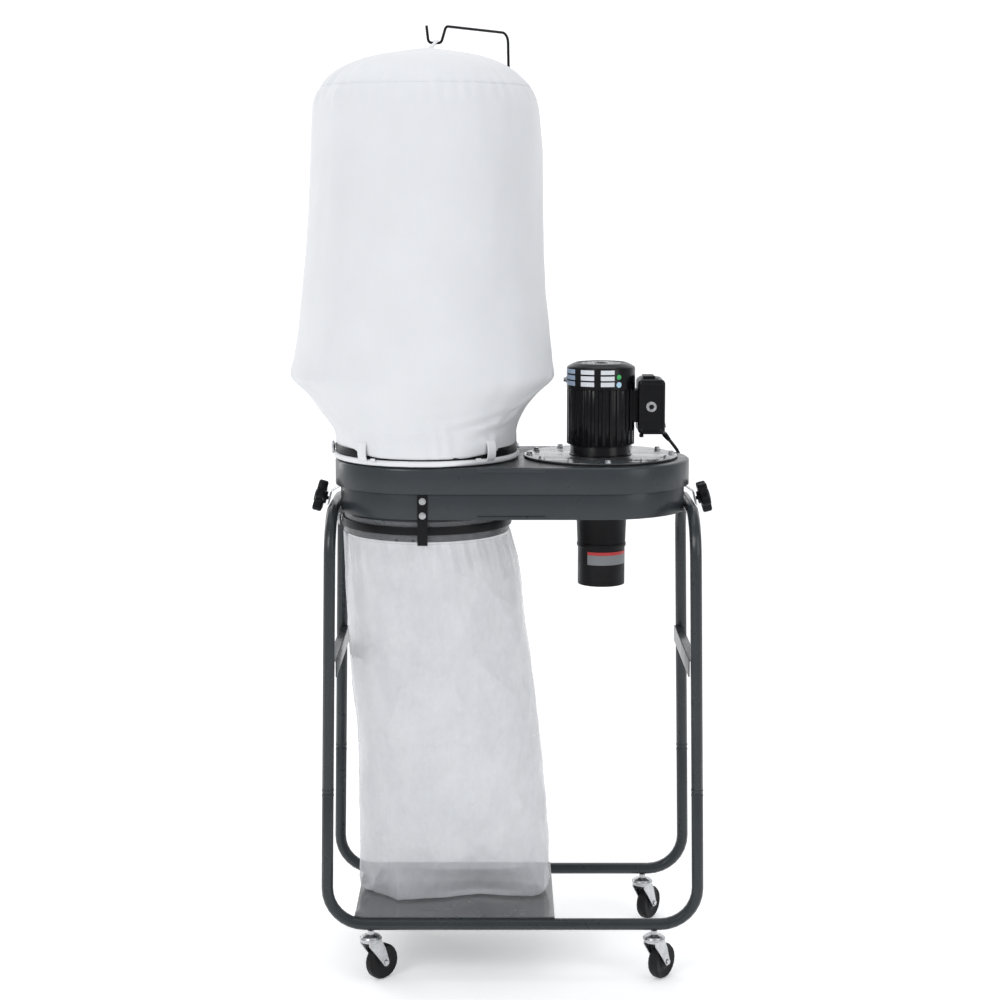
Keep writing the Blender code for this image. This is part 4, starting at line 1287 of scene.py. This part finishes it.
# blank rating plates, with no lettering
plates = {"blank_plates": [], "blank_plates_blue": []}
for rows_low, rows_high in ((1.2695, 1.2785), (1.2568, 1.2660), (1.2444, 1.2536)):
    plates["blank_plates_blue"].append(
        wrapped_patch(FAN_X, 0.0724, -172, -141, rows_low, rows_high, 0.0003, 10)
    )
    plates["blank_plates"].append(
        wrapped_patch(FAN_X, 0.0724, -128, -104, rows_low, rows_high, 0.0003, 10)
    )
    plates["blank_plates"].append(
        wrapped_patch(FAN_X, 0.0724, -93, -70, rows_low, rows_high, 0.0003, 10)
    )
place("blank_plates", joined(plates["blank_plates"]), LABEL, slot="black_gloss")
place("blank_plates_blue", joined(plates["blank_plates_blue"]), LABEL_BLUE, slot="black_gloss")
for name, z, radius, colour in (
    ("green_mark", 1.2640, 0.0052, GREEN), ("blue_mark", 1.2480, 0.0060, PALE_BLUE)
):
    a = math.radians(-61.5)
    at = (FAN_X + 0.0722 * math.cos(a), 0.0722 * math.sin(a), z)
    dot = [(0.0004, 0.0), (radius, 0.0), (radius, 0.0004), (radius - 0.0003, 0.0007), (0.0004, 0.0007)]
    place(name, turned(dot, at, 32, axis=(math.cos(a), math.sin(a), 0)), colour, slot="black_gloss")

port_x = middle("inlet_port").x
place(
    "port_label_header", wrapped_patch(
        port_x, 0.0503, -128, -12, 0.8850, 0.8915, 0.0003, 24
    ), LABEL_RED,
    slot="black_plastic"
)
place(
    "port_label_block", wrapped_patch(
        port_x, 0.0503, -128, -12, 0.8640, 0.8848, 0.0003, 24
    ), LABEL_GREY,
    slot="black_plastic"
)

# switch box
box_low, box_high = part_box("switch_box_lid")
front = box_low.y


def rounded_ring(x0, x1, z0, z1, y, corner):
    ring = []
    for cx, cz, start in (
        (x1 - corner, z1 - corner, 0),
        (x0 + corner, z1 - corner, 90),
        (x0 + corner, z0 + corner, 180),
        (x1 - corner, z0 + corner, 270),
    ):
        for d in range(0, 91, 10):
            a = math.radians(start + d)
            ring.append((cx + corner * math.cos(a), y, cz + corner * math.sin(a)))
    return ring


def box_shell(x0, x1, z0, z1, steps):
    """A rounded case; steps are (y, inset, corner radius) from the front to the back."""
    rows = [rounded_ring(x0 + i, x1 - i, z0 + i, z1 - i, y, r) for y, i, r in steps]
    return grid_mesh("case", np.array(rows), caps=("first", "last"))


case_x = (box_low.x, box_high.x)
case_z = (box_low.z + 0.0020, box_high.z - 0.0040)
lid_steps = [
    (front + 0.0026, 0.0110, 0.0030),
    (front + 0.0026, 0.0090, 0.0045),
    (front + 0.0018, 0.0078, 0.0055),
    (front + 0.0002, 0.0062, 0.0065),
    (front, 0.0048, 0.0075),
    (front + 0.0006, 0.0028, 0.0085),
    (front + 0.0022, 0.0012, 0.0095),
    (front + 0.0048, 0.0003, 0.0100),
    (front + 0.0085, 0.0000, 0.0105),
    (front + 0.0115, 0.0000, 0.0105),
]
lid = publish(
    "switch_box_lid_fine", box_shell(*case_x, *case_z, lid_steps), GLOSS
)
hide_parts("switch_box_lid")
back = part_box("switch_box")[1].y
case_steps = [
    (front + 0.0118, 0.0012, 0.0090),
    (front + 0.0122, 0.0006, 0.0096),
    (front + 0.0130, 0.0006, 0.0096),
    (back - 0.0080, 0.0006, 0.0096),
    (back - 0.0030, 0.0018, 0.0100),
    (back, 0.0060, 0.0080),
]
case = publish(
    "switch_box_fine", box_shell(*case_x, *case_z, case_steps), PLASTIC
)
neck_low, neck_high = FAN_X + 0.0600, box_low.x + 0.004
neck = place(
    "switch_box_neck", slab((neck_low, -0.030, 1.166), (neck_high, 0.030, 1.234), 0.003), PLASTIC,
    slot="black_plastic"
)
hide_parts("switch_box")


def frame_ring(x0, x1, z0, z1, wide, y0, y1, corner=0.004):
    """bmesh of a rounded rectangular rim facing the front."""
    bm = bmesh.new()
    loops = []
    for inset, y in ((0, y1), (0, y0), (wide, y0), (wide, y1)):
        ring = []
        r = max(0.0008, corner - inset)
        for cx, cz, start in (
            (x1 - inset - r, z1 - inset - r, 0),
            (x0 + inset + r, z1 - inset - r, 90),
            (x0 + inset + r, z0 + inset + r, 180),
            (x1 - inset - r, z0 + inset + r, 270),
        ):
            for d in range(0, 91, 15):
                a = math.radians(start + d)
                ring.append(bm.verts.new((cx + r * math.cos(a), y, cz + r * math.sin(a))))
        loops.append(ring)
    count = len(loops[0])
    for a, b in zip(loops, loops[1:] + loops[:1]):
        for i in range(count):
            j = (i + 1) % count
            bm.faces.new((a[i], a[j], b[j], b[i]))
    return bm


rim = frame_ring(
    case_x[0] + 0.0072, case_x[1] - 0.0072, case_z[0] + 0.0072, case_z[1] - 0.0072, 0.0010,
    front + 0.0004, front + 0.0026, 0.006
)
place("switch_panel_rim", rim, GLOSS, slot="black_plastic")
nut_at = Vector((CX + 0.2907, front + 0.0026, 1.2004))
nut = joined(
    [
        turned(
            [
                (0.0058, 0.0), (0.0108, 0.0), (0.0108, 0.0012), (0.0100, 0.0018), (0.0058, 0.0018)
            ], nut_at,
            48, closed=True, axis=(0, -1, 0)
        ),
        turned(
            [(0.0058, 0.0018), (0.0082, 0.0018), (0.0082, 0.0040), (0.0076, 0.0046), (0.0058, 0.0046)],
            nut_at, 6, closed=True, axis=(0, -1, 0)
        ),
    ]
)
place("panel_nut", nut, ZINC, slot="zinc")
button = turned(
    [(0.0056, 0.0), (0.0056, 0.0038), (0.0050, 0.0044), (0.0010, 0.0046)], nut_at, 32, axis=(0, -1, 0)
)
place("panel_button", button, PLASTIC, slot="black_plastic")
cover_top = case_z[1] - 0.0004
wedge = joined(
    [
        slab((CX + 0.2700, -0.0380, cover_top), (CX + 0.3060, 0.0300, cover_top + 0.0016), 0.0006),
        slab(
            (CX + 0.2740, -0.0340, cover_top + 0.0012), (CX + 0.2990, 0.0180, cover_top + 0.0066),
            0.0022
        ),
    ]
)
place("switch_box_top_cap", wedge, PLASTIC, slot="black_plastic")
low_z = case_z[0]
place(
    "switch_box_tab",
    slab(
        (CX + 0.2665, front + 0.004, low_z - 0.0060), (CX + 0.2750, front + 0.018, low_z + 0.0004),
        0.0010
    ),
    PLASTIC, slot="black_plastic"
)
rocker_low, rocker_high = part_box("rocker_switch")
bezel = frame_ring(-0.0155, 0.0155, -0.0200, 0.0200, 0.0024, -0.0012, 0.0004, 0.003)
bezel.transform(
    Matrix.Translation(((box_high.x), (rocker_low.y + rocker_high.y) / 2, 1.1705))
    @ Matrix.Rotation(math.radians(90), 4, "Z")
)
place("rocker_bezel", bezel, PLASTIC, slot="black_plastic")

# latches: pins and wire links
def latch_trim(radius, low, high, reach):
    hinge_x = BAG_X - radius / math.cos(math.pi / 40) - 0.0003 - 0.0018 - 0.0045
    parts = [
        turned(
            [
                (0.0012, low - reach), (0.0015, low - reach + 0.0004), (0.0015, high + reach - 0.0004),
                (0.0012, high + reach),
            ],
            (hinge_x, -0.020, 0), 16
        ),
    ]
    link_x = hinge_x + 0.0005
    wire = [
        Vector((link_x - 0.0030, -0.0205, high + 0.0012)),
        Vector((link_x - 0.0028, -0.0050, high + 0.0012)),
        Vector((link_x - 0.0022, 0.0100, high + 0.0012)),
        Vector((link_x - 0.0020, 0.0160, high - 0.0010)),
        Vector((link_x - 0.0020, 0.0165, (low + high) / 2)),
        Vector((link_x - 0.0020, 0.0160, low + 0.0010)),
        Vector((link_x - 0.0022, 0.0100, low - 0.0012)),
        Vector((link_x - 0.0028, -0.0050, low - 0.0012)),
        Vector((link_x - 0.0030, -0.0205, low - 0.0012)),
    ]
    parts.append(bar(wire, 0.0010, 10))
    return joined(parts)


place("filter_latch_trim", latch_trim(0.189, 1.104, 1.122, 0.004), ZINC, slot="zinc")
place("collection_latch_trim", latch_trim(0.1775, 0.950, 0.967, 0.003), ZINC, slot="zinc")


# stand trim: rings at the leg joints
def stand_trim():
    """Slim rings at the seams of the four legs."""
    parts = []
    profile = [(0.01262, -0.0012), (0.01295, -0.0008), (0.01295, 0.0008), (0.01262, 0.0012)]
    for sign, y, z in ((s, y, z) for s in (-1, 1) for y in (-0.177, 0.177) for z in (0.4035, 0.4145)):
        x = CX + sign * (0.387 + (0.200 - z) * math.tan(math.radians(1.0)))
        parts.append(turned(profile, (x, y, z), 40, closed=True))
    return joined(parts)


place("joint_rings", stand_trim(), PAINT, slot="tube_paint")


def bracket_bolts():
    parts = []
    tilt = math.radians(15)
    profile = [(0.0040, 0.0040), (0.0125, 0.0040), (0.0125, 0.0056), (0.0120, 0.0060), (0.0040, 0.0060)]
    for sign in (-1, 1):
        knob = Vector((CX + sign * 0.3905, 0, 1.001))
        axis = (sign * math.cos(tilt), 0, math.sin(tilt))
        parts.append(turned(profile, knob, 36, closed=True, axis=axis))
    return joined(parts)


place("knob_washers", bracket_bolts(), ZINC, slot="zinc")


# caster trim: swivel races, hub caps
def caster_trim(end, side):
    name = f"{end}_{side}_caster"
    low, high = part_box(f"{name}_axle")
    centre = (low + high) / 2
    stem = middle(f"{name}_stem")
    along = Vector((centre.x - stem.x, centre.y - stem.y, 0)).normalized()
    axis = Vector((-along.y, along.x, 0))
    wheel = middle(f"{name}_wheel")
    hubs = []
    for sign in (-1, 1):
        at = wheel + axis * sign * 0.0085
        profile = [
            (0.0042, 0.0), (0.0150, 0.0), (0.0175, 0.0006), (0.0160, 0.0018), (0.0080, 0.0026),
            (0.0042, 0.0026),
        ]
        hubs.append(turned(profile, at, 40, closed=True, axis=axis * sign))
    place(f"{name}_hubs", joined(hubs), PLASTIC, body=f"{name}_roller", slot="black_plastic")
    race = turned(
        [
            (0.0225, 0.0930), (0.0236, 0.0938), (0.0238, 0.0958), (0.0226, 0.0972), (0.0222, 0.0968),
            (0.0222, 0.0934),
        ],
        (stem.x, stem.y, 0),
        48,
        closed=True,
    )
    place(f"{name}_race", race, ZINC, slot="zinc")


for end in ("front", "rear"):
    for side in ("left", "right"):
        caster_trim(end, side)

# ---------------------------------------------------------------- stage and lights
def build_stage():
    rows = []
    path = [(-9.0, 0.0), (2.2, 0.0)]
    path += [
        (
            2.2 + 2.0 * math.sin(a), 2.0 - 2.0 * math.cos(a)
        ) for a in [math.radians(d) for d in range(6, 91, 6)]
    ]
    path.append((4.2, 8.0))
    for y, z in path:
        rows.append([(x, y, z) for x in (-9.0, 9.0)])
    mesh = grid_mesh("floor_sweep", np.array(rows), wrap=False)
    sweep = bpy.data.objects.new("floor_sweep", mesh)
    bpy.context.scene.collection.objects.link(sweep)
    mesh.shade_smooth()
    paper = finish("studio_paper", (0.90, 0.90, 0.90), 0.95, mottle=0.01, grain=50.0, spec=0.1)
    paper.node_tree.nodes["Principled BSDF"].inputs["Emission Color"].default_value = (
        1.0, 1.0, 1.0, 1.0
    )
    paper.node_tree.nodes["Principled BSDF"].inputs["Emission Strength"].default_value = 0.30
    mesh.materials.append(paper)


def build_light(name, place_at, target, size, power, colour=(1, 1, 1)):
    data = bpy.data.lights.new(name, "AREA")
    data.shape = "RECTANGLE"
    data.size, data.size_y = size
    data.energy = power
    data.color = colour
    lamp = bpy.data.objects.new(name, data)
    bpy.context.scene.collection.objects.link(lamp)
    lamp.location = place_at
    lamp.rotation_euler = (Vector(target) - Vector(place_at)).to_track_quat("-Z", "Y").to_euler()


build_stage()
build_light("key", (-2.4, -3.4, 3.2), (0, 0, 1.0), (1.7, 1.7), 66)
build_light("fill", (3.0, -2.6, 2.2), (0, 0, 0.9), (1.6, 2.6), 26)
build_light("top", (0.0, 0.3, 4.2), (0, 0, 1.0), (3.0, 2.4), 30)
build_light("back_left", (-2.6, 2.2, 2.0), (0, 0, 1.0), (0.8, 2.6), 16)
world = bpy.data.worlds.new("soft_room")
bpy.context.scene.world = world
world.use_nodes = True
world.node_tree.nodes["Background"].inputs["Color"].default_value = (0.94, 0.96, 1.0, 1.0)
world.node_tree.nodes["Background"].inputs["Strength"].default_value = 0.55
bpy.context.scene.view_settings.view_transform = "Standard"
